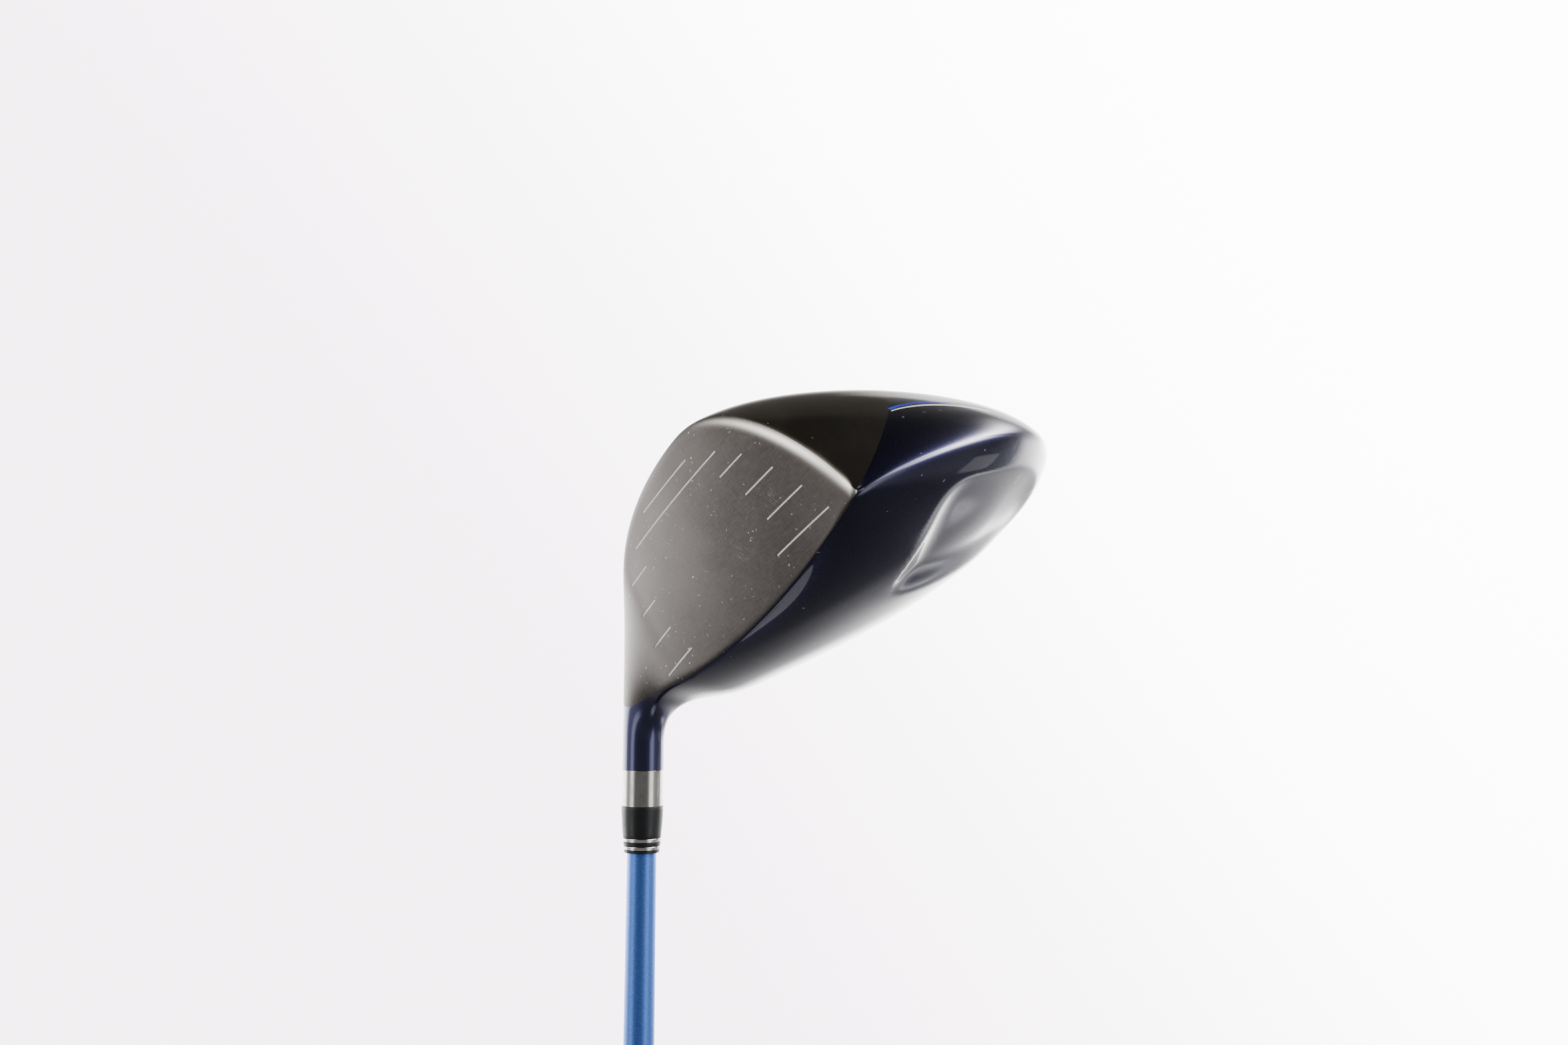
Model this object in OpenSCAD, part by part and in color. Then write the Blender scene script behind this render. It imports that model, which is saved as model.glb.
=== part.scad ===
// Golf driver, right-handed, inverted: butt of the grip at the origin, shaft
// along +Z, head at the top with its face towards -Y. Millimetres.
// Head points are written [toe, height, back] from the point where the shaft
// axis meets the ground, and turned into the row frame by place().

/* [Club] */
// Distance along the shaft axis from the butt to the ground point
club_length = 1143; // [1067:0.5:1168]
// Angle between the shaft and the ground
lie = 59; // [54:0.5:64]
// Distance along the axis from the ground point to the end of the hosel
hosel_reach = 86.6; // [60:0.1:95]

/* [Hosel and shaft] */
// Outer diameter of the painted hosel
hosel_d = 12.4; // [11:0.1:14.5]
// Outer diameter of the bare polished end of the hosel
collar_d = 12.2; // [11:0.1:14]
// Length of the bare polished end
collar_len = 10.6; // [3:0.1:15]
// Length of straight hosel before the neck begins to open
straight_len = 19; // [12:0.1:30]
// How deep the welded hosel tube runs into the head
hosel_depth = 32; // [30:0.5:60]
// Bore for the shaft tip
bore_d = 8.8; // [8.5:0.05:9.6]
// Shaft diameter at the tip
shaft_tip_d = 8.6; // [8:0.05:9.4]
// Shaft diameter at the butt
shaft_butt_d = 15.2; // [14:0.1:16]
// Shaft wall thickness
shaft_wall = 1.2; // [0.6:0.05:2.5]
// Length of the whole ferrule with its trim rings
ferrule_len = 13.6; // [8:0.1:25]
// Diameter of the ferrule at the hosel
ferrule_d = 12.45; // [11:0.05:14]
// Diameter of the ferrule's small end
ferrule_end_d = 10.4; // [9:0.05:12]

/* [Grip] */
// Length of the grip
grip_len = 268; // [240:1:290]
// Diameter of the grip's butt collar
grip_butt_d = 26.6; // [24:0.1:30]
// Diameter of the grip mouth
grip_mouth_d = 16.4; // [15.5:0.1:19]
// Thickness of the tape under the grip
tape_t = 0.25; // [0.1:0.01:0.6]
// Radius of the vent hole in the grip cap
vent_r = 1.7; // [1:0.05:3]

/* [Face] */
// Centre of the face: toe, height, back
face_centre = [39.4, 40.7, -15]; // [-60:0.1:60]
// Loft of the face
loft = 10.7; // [8:0.1:13]
// Radius across the face from heel to toe
bulge_r = 306; // [250:1:400]
// Radius up the face
roll_r = 287; // [250:1:400]
// Height of the top edge above the centre
topline_v = 24; // [18:0.1:30]
// Curve radius of the top edge
topline_r = 150; // [90:1:250]
// Reach of the toe corner from the centre
toe_u = 47.2; // [35:0.1:55]
// Where the top edge starts to turn into the neck
heel_u = -40; // [-55:0.1:-25]
// Lowest point of the face edge: across, up
sole_uv = [3.5, -33.9]; // [-60:0.1:60]
// Heel point of the lower edge: across, up
heel_uv = [-38, -21.5]; // [-60:0.1:60]

/* [Outline of the crown edge] */
// Crown edge behind the heel: toe, height, back
heel_edge = [-21.5, 45.5, 32.4]; // [-60:0.1:120]
// Crown edge at the rear: toe, height, back
rear_edge = [58.5, 29.4, 91.6]; // [-60:0.1:120]
// Direction of the edge behind the heel
heel_dir = [0.11, -0.47, 1]; // [-2:0.01:2]
// Direction of the edge behind the toe corner
toe_dir = [0.57, -0.44, 1]; // [-2:0.01:2]

/* [Crown and sole curvature] */
// Rise of the crown behind the top edge at the heel and at the toe
crown_rise = [21.7, 26.9]; // [0:0.1:60]
// Lean of the crown where it meets the edge
crown_lean = 33; // [0:0.5:60]
// Drop of the sole behind the face at the heel and at the toe
sole_drop = [-22, -40.8]; // [-60:0.1:20]
// Lean of the skirt where it meets the edge
skirt_lean = 17.8; // [0:0.1:60]
// Outward turn of the skirt at the toe
toe_turn = 41.3; // [0:0.1:70]
// Share of the sole rib that is bare metal
band_share = 0.44; // [0.2:0.01:0.7]

/* [Crown scallops] */
// Depth of the two rear scallops
dish_depth = 3.4; // [0:0.1:6]
// Toe coordinate of the spine between them
spine_a = 50; // [30:0.5:70]
// Half width of the spine
spine_half = 6; // [2:0.5:15]
// Where the scallops begin behind the shaft axis
dish_front = 22; // [5:0.5:50]
// Where the scallop on the heel side begins
heel_dish_front = 54; // [5:0.5:70]
// Where both scallops fade out behind the shaft axis
dish_end = 84; // [40:0.5:100]
// Rim left between the scallops and the crown edge
dish_rim = 6; // [2:0.5:15]

/* [Shells] */
// Shell thickness at the seams
seam_t = 1.0; // [0.8:0.05:3]
// Extra thickness in the middle of the face
face_extra = 1.8; // [0:0.05:3]
// Sections from the neck to the toe corner
n_sec = 30; // [12:1:60]
// Sections along the neck
n_neck = 9; // [4:1:20]
// Steps across the crown
n_crown = 18; // [6:1:40]
// Steps across the sole
n_sole = 16; // [6:1:40]
// Steps down the face
n_face = 10; // [4:1:30]

/* [Hidden] */
$fn = 96;
eps = 0.02;
neck_end = 0.22;      // share of the section count variable that is neck
paint_top = 0.146;    // where the paint of the neck ends at the top of the face
paint_low = 0.029;    // and at its lower edge
paint_band = 0.041;   // and where the bare band meets the skirt
ring_z = club_length - hosel_reach;
hosel_r = hosel_d / 2;
ax = [cos(lie), -sin(lie), 0];
cross_x = [sin(lie), cos(lie), 0];
up_face = [0, cos(loft), sin(loft)];
out_face = [0, sin(loft), -cos(loft)];
ang_top = -13;
ang_low = -160;
ang_back = 88;

function unit(v) = v / max(norm(v), 1e-6);
function place(p) = [p[0]*sin(lie) + p[1]*cos(lie), p[2],
                     club_length + p[0]*cos(lie) - p[1]*sin(lie)];
function clamp01(x) = min(1, max(0, x));
function soft(x) = let (y = clamp01(x)) y*y*(3 - 2*y);
function mix(a, b, x) = a*(1 - x) + b*x;
function bez(a, b, c, d, x) = a*pow(1-x, 3) + b*(3*x*pow(1-x, 2)) + c*(3*x*x*(1-x)) + d*pow(x, 3);

// points on the face surface from across and up distances
function on_face(u, v) = face_centre + [u, 0, 0] + v*up_face
    - (u*u/(2*bulge_r) + v*v/(2*roll_r))*out_face;
function top_v(u) = topline_v - pow(u - 1, 2)/(2*topline_r);
function on_top(u) = on_face(u, top_v(u));
function hosel_pt(phi) = (straight_len - hosel_reach)*ax
    + hosel_r*(cos(phi)*cross_x + sin(phi)*[0, 0, 1]);
function hosel_tan(phi) = -sin(phi)*cross_x + cos(phi)*[0, 0, 1];

// three rails run from the hosel to the toe corner; s is 0 at the hosel and
// 1 at the corner, x runs along the neck and y along the head
function neck_x(s) = clamp01(s/neck_end);
function head_y(s) = clamp01((s - neck_end)/(1 - neck_end));
function blend(s) = soft(s/(neck_end*1.3));

top_join = on_top(heel_u);
top_tan = unit(on_top(heel_u + 1) - top_join);
function rail_top(s) = s < neck_end
    ? bez(hosel_pt(ang_top), hosel_pt(ang_top) + 12.4*ax, top_join - 10.8*top_tan, top_join, neck_x(s))
    : on_top(mix(heel_u, toe_u, head_y(s)));

corner_v = top_v(toe_u);
low_dir = unit([12, -11]);
function low_uv(y) = y < 0.45
    ? bez(heel_uv, heel_uv + 14*low_dir, sole_uv - [14, 0], sole_uv, y/0.45)
    : bez(sole_uv, sole_uv + [25, 0], [toe_u - 1.8, corner_v - 11.7], [toe_u, corner_v], (y - 0.45)/0.55);
low_join = on_face(heel_uv[0], heel_uv[1]);
low_tan = unit(on_face(heel_uv[0] + low_dir[0], heel_uv[1] + low_dir[1]) - low_join);
function rail_low(s) = s < neck_end
    ? bez(hosel_pt(ang_low), hosel_pt(ang_low) + 34*ax, low_join - 10*low_tan, low_join, neck_x(s))
    : let (q = low_uv(head_y(s))) on_face(q[0], q[1]);

corner = on_top(toe_u);
hd = unit(heel_dir);
td = unit(toe_dir);
function rail_edge(s) = let (y = head_y(s)) s < neck_end
    ? bez(hosel_pt(ang_back), hosel_pt(ang_back) + 14.4*ax, heel_edge - 13.9*hd, heel_edge, neck_x(s))
    : y < 0.5
    ? bez(heel_edge, heel_edge + 19.6*hd, rear_edge - [33.2, 0, 0], rear_edge, y/0.5)
    : bez(rear_edge, rear_edge + [47.2, 0, 0], corner + 44.6*td, corner, (y - 0.5)/0.5);

function arc_k(a0, a1) = 4/3*tan((a1 - a0)/4)*hosel_r;
function flat_dir(from, to) = unit([to[0] - from[0], 0, to[2] - from[2]]);

// rounded scallops behind the top of the crown, measured in plan
edge_plan = [for (i = [0:40]) let (p = rail_edge(neck_end + (1 - neck_end)*i/40)) [p[0], p[2]]];
function seg_dist(p, a, b) = let (ab = b - a, k = clamp01((p - a)*ab/max(ab*ab, 1e-6))) norm(p - a - k*ab);
function edge_dist(p) = min([for (i = [0:39]) seg_dist(p, edge_plan[i], edge_plan[i+1])]);
function inset(x) = pow(max(0, 1 - x), 3);
function dish(p) = let (
    toe_side = p[0] > spine_a,
    front = toe_side ? dish_front : heel_dish_front,
    half = spine_half + (p[2] - dish_front)*0.04,
    x1 = (abs(p[0] - spine_a) - half)/7,
    x3 = (p[2] - front)/12,
    x4 = (dish_end - p[2])/24)
    x1 <= 0 || x3 <= 0 || x4 <= 0 ? 0 : let (
    x2 = (edge_dist([p[0], p[2]]) - dish_rim)/12,
    e = 1 - pow(inset(x1) + inset(x2) + inset(x3) + inset(x4), 1/3))
    e <= 0 || x2 <= 0 ? 0 : (toe_side ? 1 : 0.7)*dish_depth*(1 - pow(1 - min(1, e), 2));

function rib(a, d0, k0, b, d1, k1, w) = bez(a, a + k0*d0, b + k1*d1, b, w);
function crown_pt(s, w) = let (
    a = rail_top(s), b = rail_edge(s), m = blend(s), y = head_y(s), ch = norm(b - a),
    up = mix(crown_rise[0], crown_rise[1], y), kn = arc_k(ang_top, ang_back),
    d0 = unit(mix(hosel_tan(ang_top), unit([0.10*(y - 0.3), sin(up), cos(up)]), m)),
    d1 = unit(mix(-hosel_tan(ang_back), cos(crown_lean)*[0, 1, 0] + sin(crown_lean)*flat_dir(b, a), m)),
    p = rib(a, d0, mix(kn, 0.23*ch, m), b, d1, mix(kn, 0.26*ch, m), w))
    p - [0, w <= 0 || w >= 1 ? 0 : dish(p), 0];
function sole_pt(s, w) = let (
    a = rail_low(s), b = rail_edge(s), m = blend(s), y = head_y(s), ch = norm(b - a),
    dn = mix(sole_drop[0], sole_drop[1], y), side = sin(toe_turn*clamp01((y - 0.35)/0.65)),
    kn = arc_k(ang_back, ang_low + 360),
    d0 = unit(mix(-hosel_tan(ang_low), unit([side, sin(dn), cos(dn)*sqrt(1 - side*side)]), m)),
    d1 = unit(mix(hosel_tan(ang_back), -cos(skirt_lean)*[0, 1, 0] + sin(skirt_lean)*flat_dir(b, a), m)))
    rib(a, d0, mix(kn, 0.30*ch, m), b, d1, mix(kn, 0.22*ch, m), w);
function face_shift(p) = let (q = p - face_centre) on_face(q[0], q*up_face) - p;
function face_pt(s, w) = let (
    a = rail_top(s), b = rail_low(s), m = blend(s), c = unit(b - a), kn = arc_k(ang_low, ang_top),
    k = mix(kn, norm(b - a)/3, m),
    n = rib(a, unit(mix(-hosel_tan(ang_top), c, m)), k, b, unit(mix(hosel_tan(ang_low), -c, m)), k, w),
    l = mix(a, b, w), q = l + face_shift(l) - mix(face_shift(a), face_shift(b), w))
    mix(n, q, m);

// the inside of every shell is the outside moved towards the middle of its section
function middle(s) = let (m = (rail_top(s) + rail_low(s) + rail_edge(s))/3)
    mix((mix(straight_len, 48, neck_x(s)) - hosel_reach)*ax, m, blend(s));
function inward(p, s, t) = let (d = middle(s) - p) p + min(t, 0.4*norm(d))*unit(d);

function kind_pt(kind, s, w) = kind == 0 ? face_pt(s, w) : kind == 1 ? crown_pt(s, w) : sole_pt(s, w);
function swell(kind, w) = seam_t + (kind == 0 ? face_extra*4*w*(1 - w) : 0);
// rows of a grid run from 0 at the hosel to 1 where the neck's paint ends, then to 2
// at the toe corner; the paint ends lower on the face and sole than round the crown
neck_t = [for (i = [0:n_neck]) i/n_neck];
head_t = [for (i = [0:n_sec]) let (x = i/n_sec) 1 + x + 0.06*sin(180*x)];
function paint_end(kind, w) =
    kind == 0 ? paint_low + (paint_top - paint_low)*pow(1 - w, 3.9)
    : kind == 1 ? paint_top
    : w < band_share ? mix(paint_low, paint_band, w/band_share)
    : paint_band + (paint_top - paint_band)*soft((w - band_share)/(1 - band_share));
function share(kind, t, w) = let (e = paint_end(kind, w)) t < 1 ? e*t : mix(e, 1, t - 1);

// a closed shell over a grid of sections; rows that end at the toe corner
// shrink to one point there
function grid(kind, ts, ws) = [for (t = ts) [for (w = ws) kind_pt(kind, share(kind, t, w), w)]];
function lining(kind, ts, ws, g, extra) = [for (i = [0:len(ts)-1]) [for (j = [0:len(ws)-1])
    inward(g[i][j], share(kind, ts[i], ws[j]), swell(kind, ws[j]) + extra)]];
module skin(outer, inner, flip, loop = false) {
  ni = len(outer);
  nj = len(outer[0]);
  tip = !loop && norm(outer[ni-1][0] - outer[ni-1][nj-1]) < 0.01;
  function id(k, i, j) = k*ni*nj + i*nj + ((tip && i == ni - 1) || (loop && j == nj - 1) ? 0 : j);
  function quad(a, b, c, d) = [[a, b, c], [a, c, d]];
  raw = [for (i = [0:ni-2]) for (j = [0:nj-2]) for (f = concat(
            quad(id(0,i,j), id(0,i+1,j), id(0,i+1,j+1), id(0,i,j+1)),
            quad(id(1,i,j), id(1,i,j+1), id(1,i+1,j+1), id(1,i+1,j)))) f];
  sides = loop ? [] : [for (i = [0:ni-2]) for (f = concat(
            quad(id(0,i,0), id(1,i,0), id(1,i+1,0), id(0,i+1,0)),
            quad(id(0,i,nj-1), id(0,i+1,nj-1), id(1,i+1,nj-1), id(1,i,nj-1)))) f];
  ends = [for (j = [0:nj-2]) for (f = concat(
            quad(id(0,0,j), id(0,0,j+1), id(1,0,j+1), id(1,0,j)),
            tip ? [] : quad(id(0,ni-1,j), id(1,ni-1,j), id(1,ni-1,j+1), id(0,ni-1,j+1)))) f];
  good = [for (f = concat(raw, sides, ends)) if (f[0] != f[1] && f[1] != f[2] && f[0] != f[2])
            flip ? [f[2], f[1], f[0]] : f];
  pts = [for (g = [outer, inner]) for (r = g) for (p = r) place(p)];
  polyhedron(points = pts, faces = good, convexity = 8);
}
function steps(n, a = 0, b = 1) = [for (i = [0:n]) mix(a, b, i/n)];
module shell(kind, ts, ws, flip) {
  g = grid(kind, ts, ws);
  skin(g, lining(kind, ts, ws, g, 0), flip);
}
// a pad that lies on the inside of a shell and follows it
module pad(kind, ts, ws, thick, flip) {
  g = grid(kind, ts, ws);
  skin(lining(kind, ts, ws, g, eps), lining(kind, ts, ws, g, thick), flip);
}
module lathe(pts) { rotate_extrude() polygon(pts); }
module tube(z0, z1, r0, r1) { lathe([[r0, z0], [r1, z0], [r1, z1], [r0, z1]]); }

band_ws = steps(6, 0, band_share);
skirt_ws = steps(n_sole - 6, band_share, 1);
tip_z = ring_z + hosel_depth - 3;
cap_t = 4;
butt_r = grip_butt_d/2;
mouth_r = grip_mouth_d/2;
spigot_r = hosel_r - seam_t - 0.1;
ferrule_r = ferrule_d/2;
tail_r = ferrule_end_d/2;
function shaft_r(z) = mix(shaft_butt_d/2, shaft_tip_d/2, clamp01((z - cap_t)/(ring_z - 2 - cap_t)));
function ferrule_at(k) = ferrule_r - (ferrule_r - tail_r)*pow(k, 1.5);
module ferrule_slice(k0, k1, swell = 0) {
  n = 6;
  ks = [for (i = [0:n]) mix(k0, k1, i/n)];
  lathe(concat([for (k = ks) [ferrule_at(k) + swell, ring_z - ferrule_len*k]],
               [[shaft_r(ring_z - ferrule_len*k1) + eps, ring_z - ferrule_len*k1],
                [shaft_r(ring_z - ferrule_len*k0) + eps, ring_z - ferrule_len*k0]]));
}
function some(v, a, b) = [for (i = [a:b]) v[i]];
module rib_wall(kind, t, w0, w1, thick, flip) {
  ws = steps(12, w0, w1);
  ts = [t, t + 0.009];
  g = grid(kind, ts, ws);
  skin(lining(kind, ts, ws, g, 0.1), lining(kind, ts, ws, g, thick), flip);
}

/* head */
function ring(a, b, c, i) = concat(a[i], some(b[i], 1, n_sole), [for (j = [n_crown-1:-1:0]) c[i][j]]);
module face_plate() color([0.50, 0.49, 0.47]) shell(0, head_t, steps(n_face), true);
module crown_shell() color([0.05, 0.06, 0.20]) shell(1, head_t, steps(n_crown), false);
module sole_band() color([0.33, 0.31, 0.28]) shell(2, head_t, band_ws, true);
module skirt_shell() color([0.05, 0.06, 0.20]) shell(2, head_t, skirt_ws, true);
module hosel_neck() color([0.05, 0.06, 0.20]) {
  fw = steps(n_face);
  cw = steps(n_crown);
  sw = steps(n_sole);
  g0 = grid(0, neck_t, fw);
  g1 = grid(1, neck_t, cw);
  g2 = grid(2, neck_t, sw);
  l0 = lining(0, neck_t, fw, g0, 0);
  l1 = lining(1, neck_t, cw, g1, 0);
  l2 = lining(2, neck_t, sw, g2, 0);
  difference() {
    skin([for (i = [0:n_neck]) ring(g0, g2, g1, i)], [for (i = [0:n_neck]) ring(l0, l2, l1, i)], true, true);
    spigot_seat();
  }
}
// room for the inner part of the hosel tube
module spigot_seat() translate([0, 0, ring_z]) lathe([
  [0, straight_len], [spigot_r + eps, straight_len], [spigot_r + eps, hosel_depth + eps], [0, hosel_depth + eps]]);
// welded tube that takes the shaft: painted outside the head, a thin spigot inside
module hosel_tube() color([0.05, 0.06, 0.20]) translate([0, 0, ring_z]) lathe([
  [bore_d/2, collar_len], [hosel_r, collar_len], [hosel_r, straight_len - eps], [spigot_r, straight_len - eps],
  [spigot_r, hosel_depth], [0, hosel_depth], [0, hosel_depth - 2], [bore_d/2, hosel_depth - 2]]);
module hosel_collar() color([0.72, 0.71, 0.70]) translate([0, 0, ring_z]) lathe([
  [bore_d/2, 0], [collar_d/2 - 0.3, 0], [collar_d/2, 0.3], [collar_d/2, collar_len], [bore_d/2, collar_len]]);

/* ferrule */
module ferrule_body() color([0.03, 0.03, 0.04]) ferrule_slice(0, 0.68);
module ferrule_ring_low() color([0.75, 0.75, 0.77]) ferrule_slice(0.68, 0.76, 0.12);
module ferrule_spacer() color([0.03, 0.03, 0.04]) ferrule_slice(0.76, 0.85);
module ferrule_ring_high() color([0.75, 0.75, 0.77]) ferrule_slice(0.85, 0.93, 0.12);
module ferrule_tail() color([0.03, 0.03, 0.04]) ferrule_slice(0.93, 1);

/* shaft */
module shaft() color([0.22, 0.38, 0.60]) lathe([
  [shaft_r(cap_t), cap_t], [shaft_r(ring_z - 2), ring_z - 2], [shaft_tip_d/2, tip_z - 0.6], [shaft_tip_d/2 - 0.4, tip_z],
  [shaft_tip_d/2 - shaft_wall, tip_z], [shaft_tip_d/2 - shaft_wall, ring_z - 2], [shaft_r(cap_t) - shaft_wall, cap_t]]);
module epoxy_bond() color([0.85, 0.80, 0.60])
  tube(ring_z + 0.2, tip_z - 1, shaft_tip_d/2 + 0.01, bore_d/2 - 0.01);
module tip_plug() color([0.75, 0.60, 0.25])
  translate([0, 0, tip_z - 14]) cylinder(r = shaft_tip_d/2 - shaft_wall - 0.01, h = 13.5);

/* inside the head */
module weight_pad() color([0.35, 0.34, 0.33]) pad(2, some(head_t, 14, 18), some(skirt_ws, 3, 6), 4.5, true);
module glue_patch() color([0.85, 0.75, 0.45]) pad(2, some(head_t, 9, 13), some(band_ws, 2, 5), 0.9, true);
module sole_rib_heel() color([0.45, 0.43, 0.40]) rib_wall(2, 1.31, 0.12, 0.80, 7, true);
module sole_rib_toe() color([0.45, 0.43, 0.40]) rib_wall(2, 1.68, 0.12, 0.80, 7, true);
module crown_rib() color([0.45, 0.43, 0.40]) rib_wall(1, 1.485, 0.08, 0.45, 3, false);

/* grip */
module grip() color([0.05, 0.05, 0.05]) {
  z1 = cap_t + 0.01;
  lathe([
    [9.5, 0], [butt_r, 0], [butt_r, 9], [butt_r - 0.9, 9.8], [butt_r - 0.9, 11], [butt_r - 0.2, 11.8],
    [butt_r - 0.7, 22], [butt_r - 1.5, 50], [mix(butt_r, mouth_r, 0.62), 140], [mouth_r + 0.4, grip_len - 16],
    [mouth_r - 0.3, grip_len - 14.5], [mouth_r - 0.3, grip_len - 13], [mouth_r + 0.25, grip_len - 12],
    [mouth_r, grip_len - 2], [mouth_r - 0.5, grip_len], [shaft_r(grip_len) + tape_t + eps, grip_len],
    [shaft_r(z1) + tape_t + eps, z1], [9.5, z1]]);
}
module grip_tape() color([0.85, 0.83, 0.75]) {
  z1 = grip_len - 6;
  lathe([[shaft_r(cap_t + 1) + 0.01, cap_t + 1], [shaft_r(cap_t + 1) + tape_t, cap_t + 1],
         [shaft_r(z1) + tape_t, z1], [shaft_r(z1) + 0.01, z1]]);
}
module grip_cap() color([0.09, 0.09, 0.09]) tube(0, cap_t, vent_r, 9.5 - 0.01);

face_plate();
crown_shell();
sole_band();
skirt_shell();
hosel_neck();
hosel_tube();
hosel_collar();
ferrule_body();
ferrule_ring_low();
ferrule_spacer();
ferrule_ring_high();
ferrule_tail();
shaft();
epoxy_bond();
tip_plug();
weight_pad();
glue_patch();
sole_rib_heel();
sole_rib_toe();
crown_rib();
grip();
grip_tape();
grip_cap();
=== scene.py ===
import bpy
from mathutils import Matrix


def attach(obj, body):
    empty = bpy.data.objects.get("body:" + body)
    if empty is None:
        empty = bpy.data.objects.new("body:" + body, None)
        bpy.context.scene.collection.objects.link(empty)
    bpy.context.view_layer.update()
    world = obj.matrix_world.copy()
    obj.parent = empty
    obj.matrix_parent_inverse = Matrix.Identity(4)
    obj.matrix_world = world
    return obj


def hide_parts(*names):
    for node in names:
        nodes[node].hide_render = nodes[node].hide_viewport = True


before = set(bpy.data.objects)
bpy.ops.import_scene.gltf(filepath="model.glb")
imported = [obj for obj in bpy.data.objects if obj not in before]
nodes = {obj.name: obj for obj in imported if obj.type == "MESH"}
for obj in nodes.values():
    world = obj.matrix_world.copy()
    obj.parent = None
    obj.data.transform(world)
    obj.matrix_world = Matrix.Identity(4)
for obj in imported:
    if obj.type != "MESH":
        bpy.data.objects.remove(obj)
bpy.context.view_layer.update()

import math

import bmesh
import bpy
import numpy as np
from mathutils import Matrix, Vector
from mathutils.kdtree import KDTree

# ---------------- sizes, in millimetres
CLUB = 1143.0
LIE = math.radians(59.0)
LOFT = math.radians(10.7)

# hosel and shaft, measured along the shaft axis from the bright end of the hosel
HOSEL_REACH = 86.6
RING_Z = CLUB - HOSEL_REACH
HOSEL_R = 6.2
COLLAR_R = 6.1
COLLAR_LEN = 10.6
STRAIGHT = 19.0
BORE_R = 4.4
BORE_DEPTH = 32.0
BORE_END = 2.0
AXIS_GAP = 0.02
SHAFT_TIP_R = 4.3
SHAFT_BUTT_R = 7.6
SHAFT_WALL = 1.2
TAPER_END = RING_Z - 2
TIP_Z = RING_Z + BORE_DEPTH - 3
SEAM = 1.0

# ferrule: shares of its length at which its five slices meet
FERRULE_LEN = 13.6
FERRULE_R = 6.225
FERRULE_END_R = 5.2
RING_1, RING_2 = (0.68, 0.76), (0.85, 0.93)
RING_PROUD, RING_ROUND = 0.12, 0.25

# grip and cap
GRIP_LEN = 268.0
BUTT_R = 13.3
CAP_T = 4.0
CAP_R = 9.5
VENT_R = 1.7
TAPE_GAP = 0.28
GRIP_LOW, GRIP_HIGH = 11.0, 266.0
GRIP_STATIONS = (
    (9.0, 13.3), (9.8, 12.4), (11.0, 12.4), (11.8, 13.1), (22.0, 12.6), (50.0, 11.8), (140.0, 10.138),
    (252.0, 8.6), (253.5, 7.9), (255.0, 7.9), (256.0, 8.45), (266.0, 8.2), (268.0, 7.7),
)
TREAD_PANELS = ((16, 92), (100, 150), (158, 246))
TREAD_RINGS = (96, 154, 249.5)
TREAD_ROW, TREAD_DASHES = 3.2, 26
TREAD_DEPTH, TREAD_RING_DEPTH = 0.35, 0.45

# head, in its own coordinates: toe, height, back
FACE_CENTRE = np.array([39.4, 40.7, -15.0])
BULGE, ROLL = 306.0, 287.0
TOPLINE_V, TOPLINE_R = 24.0, 150.0
TOE_U, HEEL_U = 47.2, -40.0
SOLE_UV = np.array([3.5, -33.9])
HEEL_UV = np.array([-38.0, -21.5])
HEEL_EDGE = np.array([-21.5, 45.5, 32.4])
REAR_EDGE = np.array([58.5, 29.4, 91.6])
SOLE_SHARE, REAR_SHARE = 0.45, 0.5
CROWN_RISE = (21.7, 26.9)
CROWN_LEAN = math.radians(33.0)
SOLE_DROP = (-22.0, -40.8)
SKIRT_LEAN = math.radians(17.8)
TOE_TURN = math.radians(41.3)
BAND_SHARE = 0.44
NECK_END, PAINT_TOP, PAINT_LOW, PAINT_BAND = 0.22, 0.146, 0.029, 0.041
ANG_TOP, ANG_LOW, ANG_BACK = math.radians(-13), math.radians(-160), math.radians(88)

# how the rails run on from their ends: directions, and how far at the start and at the finish
EDGE_HEEL_WAY, EDGE_TOE_WAY, LOW_WAY = (0.11, -0.47, 1), (0.57, -0.44, 1), (12, -11)
TOP_NECK_PULL = (12.4, 10.8)
LOW_NECK_PULL = (34, 10)
EDGE_NECK_PULL = (14.4, 13.9)
EDGE_HEEL_PULL = (19.6, 33.2)
EDGE_TOE_PULL = (47.2, 44.6)
SOLE_HEEL_PULL = (14, 14)
SOLE_TOE_PULL = 25
TOE_PULL_UV = (1.8, 11.7)

# scallops of the crown
DISH_DEPTH, DISH_FRONT, DISH_RIM, DISH_END = 3.4, 22.0, 6.0, 84.0
DISH_ROUND = 0.04
SPINE_A, SPINE_HALF, SPINE_SPREAD = 50.0, 6.0, 0.04
HEEL_DISH_FRONT, HEEL_DISH_SHARE = 54.0, 0.7
DISH_SIDE_FADE, DISH_RIM_FADE, DISH_FRONT_FADE, DISH_END_FADE = 7, 12, 12, 24

# mesh: columns of each stretch of a section, and rows along the head
N_FACE, N_BAND, N_SKIRT, N_CROWN = 56, 40, 44, 84
N_NECK, N_HEAD, N_RAW = 30, 150, 420
I_BAND = N_FACE + N_BAND
I_EDGE = I_BAND + N_SKIRT
N_LOOP = I_EDGE + N_CROWN
ROUND_FACE, ROUND_LOW, ROUND_EDGE, ROUND_REST = 0.8, 1.7, 2.4, 0.8
EDGE_COLS, EDGE_WIDTH = 4, 1.5
FACE_PROBE = (100, 20)  # a place on the face, where outward is known
WELD = 1e-6  # metres

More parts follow.
